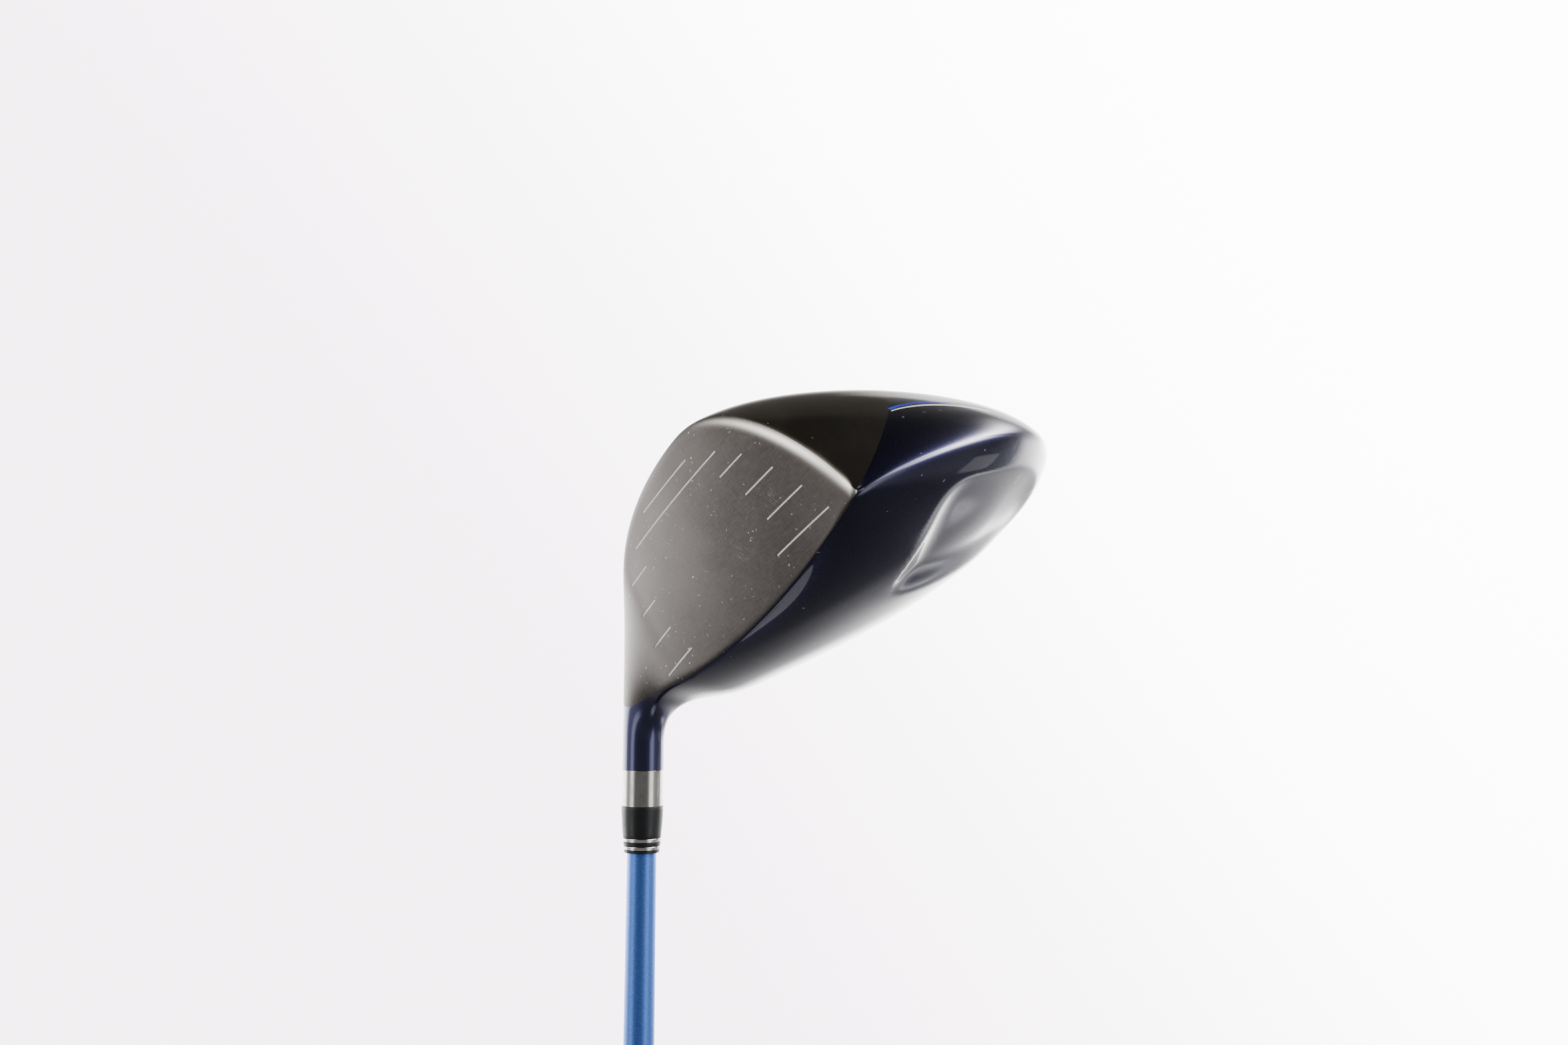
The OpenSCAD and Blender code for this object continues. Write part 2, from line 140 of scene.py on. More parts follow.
# score lines: height on the face, and the spans from heel to toe
SCORES = {
    -25.6: ((-18.7, 5.6),),
    -20.0: ((-28.8, 16.6),),
    -13.3: ((14.0, 24.1), (-38.4, -27.8)),
    -3.9: ((18.9, 30.7), (-40.0, -30.8)),
    5.6: ((21.1, 35.5), (-41.2, -30.2)),
    14.8: ((18.0, 38.8), (-41.8, -26.4)),
}
SCORE_WIDTH, SCORE_DEPTH, SCORE_FILL = 0.50, 0.16, 0.04

# painted stripes on the skirt: share and column at both ends, width at both ends
STRIPES = (
    ("stripe_blue", (0.842, I_BAND + 0.3), (0.800, I_BAND + 26.0), (1.10, 0.50)),
    ("stripe_white", (0.848, I_BAND + 2.0), (0.812, I_BAND + 27.0), (0.30, 1.50)),
)
COAT_LIFT = 0.02

AX = np.array([math.cos(LIE), -math.sin(LIE), 0.0])
CROSS_X = np.array([math.sin(LIE), math.cos(LIE), 0.0])
BACK = np.array([0.0, 0.0, 1.0])
UP_FACE = np.array([0.0, math.cos(LOFT), math.sin(LOFT)])
OUT_FACE = np.array([0.0, math.sin(LOFT), -math.cos(LOFT)])


# ---------------- the head's shape
def vec(*values):
    return np.array(values, float)


def unit(v):
    return v / np.maximum(np.linalg.norm(v, axis=-1, keepdims=True), 1e-9)


def soft(x):
    x = np.clip(x, 0, 1)
    return x * x * (3 - 2 * x)


def mix(a, b, x):
    return a * (1 - x) + b * x


def bez(a, b, c, d, x):
    x = np.asarray(x, float)[..., None]
    return a * (1 - x) ** 3 + b * (3 * x * (1 - x) ** 2) + c * (3 * x * x * (1 - x)) + d * x ** 3


def place(p):
    """Head coordinates [toe, height, back] in mm to the row frame in metres."""
    x = p[..., 0] * math.sin(LIE) + p[..., 1] * math.cos(LIE)
    z = CLUB + p[..., 0] * math.cos(LIE) - p[..., 1] * math.sin(LIE)
    return np.stack([x, p[..., 2], z], -1) / 1000


def on_face(u, v):
    u, v = np.asarray(u, float)[..., None], np.asarray(v, float)[..., None]
    sag = u * u / (2 * BULGE) + v * v / (2 * ROLL)
    return FACE_CENTRE + u * vec(1, 0, 0) + v * UP_FACE - sag * OUT_FACE


def top_v(u):
    return TOPLINE_V - (u - 1) ** 2 / (2 * TOPLINE_R)


def on_top(u):
    return on_face(u, top_v(u))


def hosel_pt(phi):
    return (STRAIGHT - HOSEL_REACH) * AX + HOSEL_R * (math.cos(phi) * CROSS_X + math.sin(phi) * BACK)


def hosel_tan(phi):
    return -math.sin(phi) * CROSS_X + math.cos(phi) * BACK


def neck_x(s):
    return np.clip(s / NECK_END, 0, 1)


def head_y(s):
    return np.clip((s - NECK_END) / (1 - NECK_END), 0, 1)


def blend(s):
    return soft(s / (NECK_END * 1.3))


def pick(test, a, b):
    return np.where(test[..., None], a, b)


def rail_top(s):
    join = on_top(HEEL_U)
    tangent = unit(on_top(HEEL_U + 1) - join)
    start = hosel_pt(ANG_TOP)
    neck = bez(start, start + TOP_NECK_PULL[0] * AX, join - TOP_NECK_PULL[1] * tangent, join, neck_x(s))
    return pick(s < NECK_END, neck, on_top(mix(HEEL_U, TOE_U, head_y(s))))


LOW_DIR = unit(vec(*LOW_WAY))


def low_uv(y):
    corner = vec(TOE_U, top_v(TOE_U))
    heel_pull, sole_pull = SOLE_HEEL_PULL
    heel = bez(HEEL_UV, HEEL_UV + heel_pull * LOW_DIR, SOLE_UV - vec(sole_pull, 0), SOLE_UV, y / SOLE_SHARE)
    rest = (y - SOLE_SHARE) / (1 - SOLE_SHARE)
    toe = bez(SOLE_UV, SOLE_UV + vec(SOLE_TOE_PULL, 0), corner - vec(*TOE_PULL_UV), corner, rest)
    return pick(y < SOLE_SHARE, heel, toe)


def rail_low(s):
    join = on_face(*HEEL_UV)
    tangent = unit(on_face(*(HEEL_UV + LOW_DIR)) - join)
    start = hosel_pt(ANG_LOW)
    neck = bez(start, start + LOW_NECK_PULL[0] * AX, join - LOW_NECK_PULL[1] * tangent, join, neck_x(s))
    uv = low_uv(head_y(s))
    return pick(s < NECK_END, neck, on_face(uv[..., 0], uv[..., 1]))


def rail_edge(s):
    y = head_y(s)
    start, corner = hosel_pt(ANG_BACK), on_top(TOE_U)
    hd, td = unit(vec(*EDGE_HEEL_WAY)), unit(vec(*EDGE_TOE_WAY))
    (n0, n1), (h0, h1), (t0, t1) = EDGE_NECK_PULL, EDGE_HEEL_PULL, EDGE_TOE_PULL
    neck = bez(start, start + n0 * AX, HEEL_EDGE - n1 * hd, HEEL_EDGE, neck_x(s))
    heel = bez(HEEL_EDGE, HEEL_EDGE + h0 * hd, REAR_EDGE - vec(h1, 0, 0), REAR_EDGE, y / REAR_SHARE)
    rest = (y - REAR_SHARE) / (1 - REAR_SHARE)
    toe = bez(REAR_EDGE, REAR_EDGE + vec(t0, 0, 0), corner + t1 * td, corner, rest)
    return pick(s < NECK_END, neck, pick(y < REAR_SHARE, heel, toe))


def arc_k(a0, a1):
    return 4 / 3 * math.tan((a1 - a0) / 4) * HOSEL_R


def flat_dir(a, b):
    return unit((b - a) * vec(1, 0, 1))


EDGE_PLAN = rail_edge(np.linspace(NECK_END, 1, 81))[:, ::2]


def edge_dist(p):
    """Distance in plan from the crown's edge."""
    best = np.full(p.shape[:-1], 1e9)
    q = p[..., ::2]
    for a, b in zip(EDGE_PLAN[:-1], EDGE_PLAN[1:]):
        ab = b - a
        k = np.clip((q - a) @ ab / max(ab @ ab, 1e-6), 0, 1)
        best = np.minimum(best, np.linalg.norm(q - a - k[..., None] * ab, axis=-1))
    return best


def dish(p):
    """How far the crown is lowered by its two rear scallops."""
    half = SPINE_HALF + (p[..., 2] - DISH_FRONT) * SPINE_SPREAD
    toe_side = p[..., 0] > SPINE_A
    front = np.where(toe_side, DISH_FRONT, HEEL_DISH_FRONT)
    fades = (
        (np.abs(p[..., 0] - SPINE_A) - half) / DISH_SIDE_FADE,
        (edge_dist(p) - DISH_RIM) / DISH_RIM_FADE,
        (p[..., 2] - front) / DISH_FRONT_FADE,
        (DISH_END - p[..., 2]) / DISH_END_FADE,
    )
    e = 1 - sum(np.maximum(0, 1 - x) ** 3 for x in fades) ** (1 / 3)
    inside = (e > 0) & np.all([x > 0 for x in fades], axis=0)
    depth = np.where(toe_side, DISH_DEPTH, HEEL_DISH_SHARE * DISH_DEPTH)
    e = np.clip(e, 0, 1)
    e = e - DISH_ROUND * (1 - np.exp(-e / DISH_ROUND))
    return np.where(inside, depth * (1 - (1 - e) ** 2), 0)


def rib(a, d0, k0, b, d1, k1, w):
    """One curve for each pair of rail points, leaving a along d0 and reaching b along -d1."""
    return bez(a[:, None], (a + k0 * d0)[:, None], (b + k1 * d1)[:, None], b[:, None], w[None, :])


def across(*values):
    return np.stack(np.broadcast_arrays(*values), -1)


def crown_grid(s, w):
    a, b, m, y = rail_top(s), rail_edge(s), blend(s)[:, None], head_y(s)
    chord = np.linalg.norm(b - a, axis=-1, keepdims=True)
    up = np.radians(mix(CROWN_RISE[0], CROWN_RISE[1], y))
    kn = arc_k(ANG_TOP, ANG_BACK)
    rise = unit(across(0.10 * (y - 0.3), np.sin(up), np.cos(up)))
    fall = math.cos(CROWN_LEAN) * vec(0, 1, 0) + math.sin(CROWN_LEAN) * flat_dir(b, a)
    d0 = unit(mix(hosel_tan(ANG_TOP), rise, m))
    d1 = unit(mix(-hosel_tan(ANG_BACK), fall, m))
    p = rib(a, d0, mix(kn, 0.23 * chord, m), b, d1, mix(kn, 0.26 * chord, m), w)
    p[:, 1:-1, 1] -= dish(p[:, 1:-1])
    return p


def sole_grid(s, w):
    a, b, m, y = rail_low(s), rail_edge(s), blend(s)[:, None], head_y(s)
    chord = np.linalg.norm(b - a, axis=-1, keepdims=True)
    down = np.radians(mix(SOLE_DROP[0], SOLE_DROP[1], y))
    side = np.sin(TOE_TURN * np.clip((y - 0.35) / 0.65, 0, 1))
    kn = arc_k(ANG_BACK, ANG_LOW + 2 * math.pi)
    under = unit(across(side, np.sin(down), np.cos(down) * np.sqrt(1 - side * side)))
    lift = -math.cos(SKIRT_LEAN) * vec(0, 1, 0) + math.sin(SKIRT_LEAN) * flat_dir(b, a)
    d0 = unit(mix(-hosel_tan(ANG_LOW), under, m))
    d1 = unit(mix(hosel_tan(ANG_BACK), lift, m))
    return rib(a, d0, mix(kn, 0.30 * chord, m), b, d1, mix(kn, 0.22 * chord, m), w)


def face_shift(p):
    q = p - FACE_CENTRE
    return on_face(q[..., 0], q @ UP_FACE) - p


def face_grid(s, w):
    a, b, m = rail_top(s), rail_low(s), blend(s)[:, None]
    c, kn = unit(b - a), arc_k(ANG_LOW, ANG_TOP)
    k = mix(kn, np.linalg.norm(b - a, axis=-1, keepdims=True) / 3, m)
    neck = rib(a, unit(mix(-hosel_tan(ANG_TOP), c, m)), k, b, unit(mix(hosel_tan(ANG_LOW), -c, m)), k, w)
    line = mix(a[:, None], b[:, None], w[None, :, None])
    ends = mix(face_shift(a)[:, None], face_shift(b)[:, None], w[None, :, None])
    return mix(neck, line + face_shift(line) - ends, m[:, :, None])


def middle(s):
    m = (rail_top(s) + rail_low(s) + rail_edge(s)) / 3
    axis = (mix(STRAIGHT, 48, neck_x(s)) - HOSEL_REACH)[:, None] * AX
    return mix(axis, m, blend(s)[:, None])


# ---------------- fine sections, rounded at the rails
def eased(n, a=0.0, b=1.0, both=True):
    """n steps from a to b, closer together at both ends or only at b."""
    t = np.linspace(0, 1, n + 1)
    t = 0.5 - 0.5 * np.cos(math.pi * t) if both else np.sin(math.pi / 2 * t)
    return a + (b - a) * (0.7 * t + 0.3 * np.linspace(0, 1, n + 1))


def steps_along(loop):
    """Length of each step of a closed section, and the length passed at each point."""
    step = np.linalg.norm(np.roll(loop, -1, 0) - loop, axis=-1)
    return step, np.concatenate([[0], np.cumsum(step)[:-1]])


def around_gap(here, there, total):
    """Distance between places on a closed section, the shorter way round."""
    gap = np.abs(here - there)
    return np.minimum(gap, total - gap)


def rounded(loop, sigma):
    """Averages a closed section along its own length, over sigma mm at each point."""
    step, along = steps_along(loop)
    share = (step + np.roll(step, 1)) / 2
    gap = around_gap(along[:, None], along[None, :], step.sum())
    weight = np.exp(-0.5 * (gap / sigma[:, None]) ** 2) * share[None, :]
    return weight @ loop / weight.sum(1, keepdims=True)


def round_section(loop, s):
    """Rounds one section, most at the three rails."""
    step, along = steps_along(loop)
    total = step.sum()
    sigma = np.full(len(loop), ROUND_REST)
    low = ROUND_LOW * (1 + 0.7 * float(soft((s - 0.55) / 0.4)))
    for index, size in ((0, ROUND_FACE), (N_FACE, low), (I_EDGE, ROUND_EDGE)):
        gap = around_gap(along, along[index], total)
        sigma += (size - ROUND_REST) * np.exp(-0.5 * (gap / (2.5 * size)) ** 2)
    limit = 0.05 * total * float(blend(np.array(s)))
    return rounded(loop, np.maximum(np.minimum(sigma, limit), 0.02))


def paint_line(face_w, sole_w):
    """Share s at which the neck's paint ends, for every column of the closed section."""
    face = PAINT_LOW + (PAINT_TOP - PAINT_LOW) * (1 - face_w[:-1]) ** 3.9
    band = mix(PAINT_LOW, PAINT_BAND, np.clip(sole_w[:-1] / BAND_SHARE, 0, 1))
    skirt = (PAINT_TOP - PAINT_BAND) * soft((sole_w[:-1] - BAND_SHARE) / (1 - BAND_SHARE))
    return np.concatenate([face, band + skirt, np.full(N_CROWN, PAINT_TOP)])


def head_sections():
    """The closed outer surface: rows 0 to N_NECK are the painted neck, the rest the head."""
    s = np.linspace(0, 1, N_RAW) ** 1.15
    face_w, crown_w = eased(N_FACE), eased(N_CROWN)
    sole_w = np.concatenate([eased(N_BAND, 0, BAND_SHARE)[:-1], eased(N_SKIRT, BAND_SHARE, 1)])
    crown = crown_grid(s, crown_w)
    face, sole = face_grid(s, face_w), sole_grid(s, sole_w)
    raw = np.concatenate([face[:, :-1], sole[:, :-1], crown[:, :0:-1]], axis=1)
    for i in range(1, len(s) - 1):
        raw[i] = round_section(raw[i], s[i])
    start = paint_line(face_w, sole_w)
    t = np.linspace(0, 1, N_HEAD + 1)
    t = t + 0.13 * np.sin(math.pi * t)
    neck = np.linspace(0, 1, N_NECK + 1)[:-1, None] * start
    shares = np.concatenate([neck, mix(start, 1.0, t[:, None])])
    out = np.empty((*shares.shape, 3))
    for j in range(N_LOOP):
        for k in range(3):
            out[:, j, k] = np.interp(shares[:, j], s, raw[:, j, k])
    return shares, out


def soften_tip(grid, reach=16.0, rounds=60):
    """Rounds the toe corner, where every section shrinks to one point."""
    tip = grid[-1, 0].copy()
    for _ in range(rounds):
        around = (np.roll(grid, 1, 1) + np.roll(grid, -1, 1)) / 2
        before, after = grid[:-2], grid[2:]
        along = (before + after) / 2
        near = np.exp(-((np.linalg.norm(grid - tip, axis=-1) / reach) ** 2) * 2)[..., None]
        grid[1:-1] += near[1:-1] * (0.25 * (along - grid[1:-1]) + 0.1 * (around[1:-1] - grid[1:-1]))
        grid[-1] = mix(grid[-1], grid[-2].mean(0), 0.5)
    return grid


def calm_rows(grid, rounds=4):
    """Evens out the crown along its length, so the edges of the scallops stay smooth lines."""
    cols = np.arange(I_EDGE + 4, N_LOOP - 2)
    for _ in range(rounds):
        part = grid[:, cols]
        part[2:-2] = 0.5 * part[2:-2] + 0.25 * (part[1:-3] + part[3:-1])
        grid[:, cols] = part
    return grid


def smooth_normals(grid):
    """One normal for each point of the closed head surface."""
    du = np.roll(grid, -1, 1) - np.roll(grid, 1, 1)
    ds = np.empty_like(grid)
    ds[1:-1] = grid[2:] - grid[:-2]
    ds[0] = grid[1] - grid[0]
    ds[-1] = grid[-1] - grid[-2]
    n = unit(np.cross(ds, du))
    n[-1] = unit(n[-2].mean(0))
    calm = np.clip((N_NECK + 26 - np.arange(len(n))) / 16, 0, 1)[1:-1, None, None]
    for _ in range(14):
        around = (np.roll(n, 1, 1) + np.roll(n, -1, 1))[1:-1] + n[:-2] + n[2:]
        n[1:-1] = unit(n[1:-1] + calm * (0.25 * around - n[1:-1]) * 0.8)
    return n


# ---------------- mesh helpers
def new_object(name, points, faces, smooth=True):
    mesh = bpy.data.meshes.new(name)
    mesh.from_pydata([tuple(p) for p in points], [], faces)
    mesh.validate()
    if smooth:
        mesh.polygons.foreach_set("use_smooth", [True] * len(mesh.polygons))
    mesh.update()
    obj = bpy.data.objects.new(name, mesh)
    bpy.context.scene.collection.objects.link(obj)
    return obj


def face_outward(obj, weld=None):
    """Turns all faces outward, after joining corners that are closer than weld."""
    bm = bmesh.new()
    bm.from_mesh(obj.data)
    if weld:
        bmesh.ops.remove_doubles(bm, verts=bm.verts, dist=weld)
        bmesh.ops.dissolve_degenerate(bm, edges=bm.edges, dist=weld)
    bmesh.ops.recalc_face_normals(bm, faces=bm.faces)
    if bm.calc_volume(signed=True) < 0:
        bmesh.ops.reverse_faces(bm, faces=bm.faces)
    bm.to_mesh(obj.data)
    bm.free()


def slab(name, outer, inside, normals, tube=False):
    """A closed solid: a patch of the head's surface, its inner side and the rim between."""
    ni, nj = outer.shape[:2]
    half = ni * nj
    points = place(np.concatenate([outer.reshape(-1, 3), inside.reshape(-1, 3)]))
    quads = []
    for i in range(ni - 1):
        for j in range(nj - 1):
            a, b, c, d = i * nj + j, i * nj + j + 1, (i + 1) * nj + j + 1, (i + 1) * nj + j
            quads.append((a, b, c, d))
            quads.append((a + half, d + half, c + half, b + half))
    first, last = list(range(nj)), [(ni - 1) * nj + j for j in range(nj)]
    heel, toe = [i * nj for i in range(ni)], [i * nj + nj - 1 for i in range(ni)]
    for edge in (first, last) if tube else (first, last, heel, toe):
        quads += [(a, b, b + half, a + half) for a, b in zip(edge, edge[1:])]
    return new_object(name, points, quads), points[:half], turn_normals(normals.reshape(-1, 3))


def turn_normals(n):
    """Normals from head coordinates to the row frame."""
    return unit(place(n) - place(np.zeros(3)))


def nearest(obj, points):
    """Index of the nearest surface point and the distance to it, for every vertex."""
    tree = KDTree(len(points))
    for k, p in enumerate(points):
        tree.insert(p, k)
    tree.balance()
    return [tree.find(v.co)[1:] for v in obj.data.vertices]


def store(obj, name, points, values):
    """Keeps a value at every vertex, taken from the nearest surface point."""
    data = obj.data.attributes.new(name, "FLOAT", "POINT").data
    data.foreach_set("value", [float(values[k]) for k, _ in nearest(obj, points)])


def set_normals(obj, points, normals, reach=0.0006):
    """Gives outer corners the head's own smooth normals, and others their face's."""
    mesh = obj.data
    near = nearest(obj, points)
    custom = []
    for poly in mesh.polygons:
        flat = np.array(poly.normal)
        for index in poly.vertices:
            k, gap = near[index]
            good = gap < reach and normals[k] @ flat > 0.75
            custom.append(tuple(normals[k] if good else flat))
    mesh.polygons.foreach_set("use_smooth", [True] * len(mesh.polygons))
    mesh.normals_split_custom_set(custom)


def cut(obj, cutter):
    """Boolean difference; the cutter is removed."""
    mod = obj.modifiers.new("cut", "BOOLEAN")
    mod.operation = "DIFFERENCE"
    mod.solver = "MANIFOLD"
    mod.object = cutter
    bpy.context.view_layer.update()
    dg = bpy.context.evaluated_depsgraph_get()
    mesh = bpy.data.meshes.new_from_object(obj.evaluated_get(dg))
    obj.modifiers.clear()
    obj.data = mesh
    bpy.data.objects.remove(cutter)


def lathe(name, profile, turns=128, wave=None):
    """Turns a closed (r, z) profile in mm round the shaft axis; wave(angle, r, z) moves r."""
    profile = np.array(profile, float)
    angles = np.linspace(0, 2 * math.pi, turns, endpoint=False)
    r = np.repeat(profile[:, 0][:, None], turns, 1)
    z = np.repeat(profile[:, 1][:, None], turns, 1)
    if wave is not None:
        r = r + wave(angles[None, :], r, z)
    points = np.stack([r * np.cos(angles), r * np.sin(angles), z], -1) / 1000
    n = len(profile)
    quads = []
    for i in range(n):
        k = (i + 1) % n
        for j in range(turns):
            m = (j + 1) % turns
            quads.append((i * turns + j, i * turns + m, k * turns + m, k * turns + j))
    obj = new_object(name, points.reshape(-1, 3), quads)
    face_outward(obj)
    obj.data.set_sharp_from_angle(angle=math.radians(32))
    return obj


def bevelled(points, size):
    """Rounds each corner of a closed (r, z) outline by size mm."""
    out = []
    n = len(points)
    for i in range(n):
        a, p, b = (np.array(points[k % n], float) for k in (i - 1, i, i + 1))
        la, lb = np.linalg.norm(a - p), np.linalg.norm(b - p)
        cut_a, cut_b = min(size, la * 0.4), min(size, lb * 0.4)
        start, end = p + (a - p) / la * cut_a, p + (b - p) / lb * cut_b
        out.append(tuple(p + (a - p) / la * min(la * 0.45, 2 * size)))
        for t in (0, 0.25, 0.5, 0.75, 1):
            out.append(tuple((1 - t) ** 2 * start + 2 * t * (1 - t) * p + t * t * end))
        out.append(tuple(p + (b - p) / lb * min(lb * 0.45, 2 * size)))
    return out


# ---------------- the pieces

def bar(u0, u1, v, width, low, high):
    """Points and quads of a bar that follows the face surface along one score line."""
    us = np.linspace(u0, u1, max(3, int((u1 - u0) / 1.2)))
    ring = []
    for dv, dn in ((-width / 2, low), (width / 2, low), (width / 2, high), (-width / 2, high)):
        ring.append(on_face(us, us * 0 + v + dv) + dn * OUT_FACE)
    points = np.stack(ring, 1).reshape(-1, 3)
    quads = [(0, 1, 2, 3), tuple(4 * (len(us) - 1) + k for k in (3, 2, 1, 0))]
    for i in range(len(us) - 1):
        for k in range(4):
            m = (k + 1) % 4
            quads.append((4 * i + k, 4 * i + 4 + k, 4 * i + 4 + m, 4 * i + m))
    return points, quads


def bars(name, width, low, high, inset=0.0):
    points, quads, start = [], [], 0
    for v, spans in SCORES.items():
        for u0, u1 in spans:
            p, q = bar(u0 + inset, u1 - inset, v, width, low, high)
            points.append(place(p))
            quads += [tuple(k + start for k in f) for f in q]
            start += len(p)
    obj = new_object(name, np.concatenate(points), quads, smooth=False)
    face_outward(obj)
    return obj


def build_head():
    shares, grid = head_sections()
    grid = calm_rows(soften_tip(grid))
    normals = smooth_normals(grid)
    to_mid = middle(shares.ravel()).reshape(grid.shape) - grid
    if normals[FACE_PROBE] @ to_mid[FACE_PROBE] > 0:
        normals = -normals
    depth = np.minimum(SEAM, 0.35 * np.linalg.norm(to_mid, axis=-1, keepdims=True))
    inner = grid + depth * unit(to_mid)
    head_rows = np.arange(N_NECK, len(grid))
    spans = {
        "face_metal": np.arange(0, N_FACE + EDGE_COLS + 1),
        "band_metal": np.arange(N_FACE + EDGE_COLS, I_BAND + 1),
        "skirt_paint": np.arange(I_BAND, I_EDGE + 1),
        "crown_paint": np.append(np.arange(I_EDGE, N_LOOP), 0),
    }
    made = {}
    for name, cols in spans.items():
        patch = np.ix_(head_rows, cols)
        made[name] = slab(name, grid[patch], inner[patch], normals[patch])
    patch = np.ix_(np.arange(0, N_NECK + 1), np.append(np.arange(N_LOOP), 0))
    made["neck_paint"] = slab("neck_paint", grid[patch], inner[patch], normals[patch], tube=True)
    for obj, _, _ in made.values():
        face_outward(obj, WELD)
    cut(made["face_metal"][0], bars("score_cutter", SCORE_WIDTH, -SCORE_DEPTH, 0.8))
    for obj, points, turned in made.values():
        set_normals(obj, points, turned)
    face, points, _ = made["face_metal"]
    # the stored edge value places the painted highlight along the face's lower toe edge
    store(face, "edge", points, lower_edge(grid[head_rows], spans["face_metal"]).ravel())
    pieces = {name: item[0] for name, item in made.items()}
    for name, start, end, wide in STRIPES:
        pieces[name] = stripe(name, shares, grid, normals, start, end, wide)
    return pieces


def lower_edge(grid, cols):
    """How close each point of the face is to its lower edge, on the toe side only; it sets where the face
    gets a painted highlight.
    """
    gap = np.linalg.norm(grid[:, cols] - grid[:, N_FACE][:, None], axis=-1)
    toe = soft((np.linspace(0, 1, len(grid)) - 0.42) / 0.35)[:, None]
    return np.exp(-((gap / EDGE_WIDTH) ** 2)) * toe


def stripe(name, shares, grid, normals, start, end, wide, steps=60):
    """A thin raised coat of paint that follows the head's surface between two places."""
    k = np.linspace(0, 1, steps + 1)
    cols = mix(start[1], end[1], k)
    rows = np.array([row_at(shares, c, mix(start[0], end[0], x)) for c, x in zip(cols, k)])
    mid = np.array([between(grid, r, c) for r, c in zip(rows, cols)])
    norm = unit(np.array([between(normals, r, c) for r, c in zip(rows, cols)]))
    side = unit(np.cross(np.gradient(mid, axis=0), norm))
    half = mix(wide[0], wide[1], k)[:, None] / 2
    top = np.stack([mid - side * half, mid + side * half], 1) + COAT_LIFT * norm[:, None]
    low = top - 2.5 * COAT_LIFT * norm[:, None]
    obj, points, turned = slab(name, top, low, np.repeat(norm[:, None], 2, axis=1))
    face_outward(obj, WELD)
    set_normals(obj, points, turned, 0.00001)
    return obj


def row_at(shares, col, s):
    c = int(col)
    near = mix(shares[:, c], shares[:, c + 1], col - c)
    return float(np.interp(s, near, np.arange(len(near))))


def between(grid, row, col):
    """A grid value at a place between its points."""
    i, j = min(int(row), len(grid) - 2), int(col)
    x, y = row - i, col - j
    return mix(mix(grid[i, j], grid[i, j + 1], y), mix(grid[i + 1, j], grid[i + 1, j + 1], y), x)


def shaft_r(z):
    k = min(1, max(0, (z - CAP_T) / (TAPER_END - CAP_T)))
    return mix(SHAFT_BUTT_R, SHAFT_TIP_R, k)


def ferrule_r(k):
    return FERRULE_R - (FERRULE_R - FERRULE_END_R) * k ** 1.5


def ferrule_part(name, k0, k1, proud=0.0, edge=0.12):
    """One slice of the ferrule, with its two outer corners rounded."""
    z0, z1 = RING_Z - FERRULE_LEN * k0, RING_Z - FERRULE_LEN * k1
    r0, r1 = ferrule_r(k0) + proud, ferrule_r(k1) + proud
    side = [(ferrule_r(k) + proud, RING_Z - FERRULE_LEN * k) for k in np.linspace(k0, k1, 9)[1:-1]]
    start = [(r0 - edge, z0), (r0 - edge * 0.3, z0 - edge * 0.3), (r0, z0 - edge)]
    end = [(r1, z1 + edge), (r1 - edge * 0.3, z1 + edge * 0.3), (r1 - edge, z1)]
    inside = [(shaft_r(z1) + AXIS_GAP, z1), (shaft_r(z0) + AXIS_GAP, z0)]
    return lathe(name, start + side + end + inside, 160)


def build_hosel():
    spigot_r, floor = HOSEL_R - SEAM - 0.1, BORE_DEPTH - BORE_END
    tube = [(BORE_R, COLLAR_LEN), (HOSEL_R, COLLAR_LEN), (HOSEL_R, STRAIGHT), (spigot_r, STRAIGHT),
            (spigot_r, BORE_DEPTH), (AXIS_GAP, BORE_DEPTH), (AXIS_GAP, floor), (BORE_R, floor)]
    collar = [(BORE_R, 0), (COLLAR_R, 0), (COLLAR_R, COLLAR_LEN), (BORE_R, COLLAR_LEN)]
    return {
        "hosel_paint": lathe("hosel_paint", [(r, z + RING_Z) for r, z in bevelled(tube, 0.02)], 160),
        "collar_metal": lathe("collar_metal", [(r, z + RING_Z) for r, z in bevelled(collar, 0.16)], 160),
        "ferrule_sleeve": ferrule_part("ferrule_sleeve", 0, RING_1[0]),
        "trim_ring_1": ferrule_part("trim_ring_1", *RING_1, RING_PROUD, RING_ROUND),
        "ferrule_gap": ferrule_part("ferrule_gap", RING_1[1], RING_2[0]),
        "trim_ring_2": ferrule_part("trim_ring_2", *RING_2, RING_PROUD, RING_ROUND),
        "ferrule_end": ferrule_part("ferrule_end", RING_2[1], 1.0, 0.0, 0.35),
    }


def build_shaft():
    tip_bore = SHAFT_TIP_R - SHAFT_WALL
    outside = [(shaft_r(z), z) for z in np.linspace(CAP_T, TAPER_END, 40)]
    outside += [(SHAFT_TIP_R, TIP_Z - 0.6), (SHAFT_TIP_R - 0.4, TIP_Z)]
    inside = [(tip_bore, TIP_Z), (tip_bore, TAPER_END), (shaft_r(CAP_T) - SHAFT_WALL, CAP_T)]
    return lathe("shaft_tube", outside + inside, 128)


def grip_radius(z):
    return np.interp(z, [a for a, _ in GRIP_STATIONS], [b for _, b in GRIP_STATIONS])


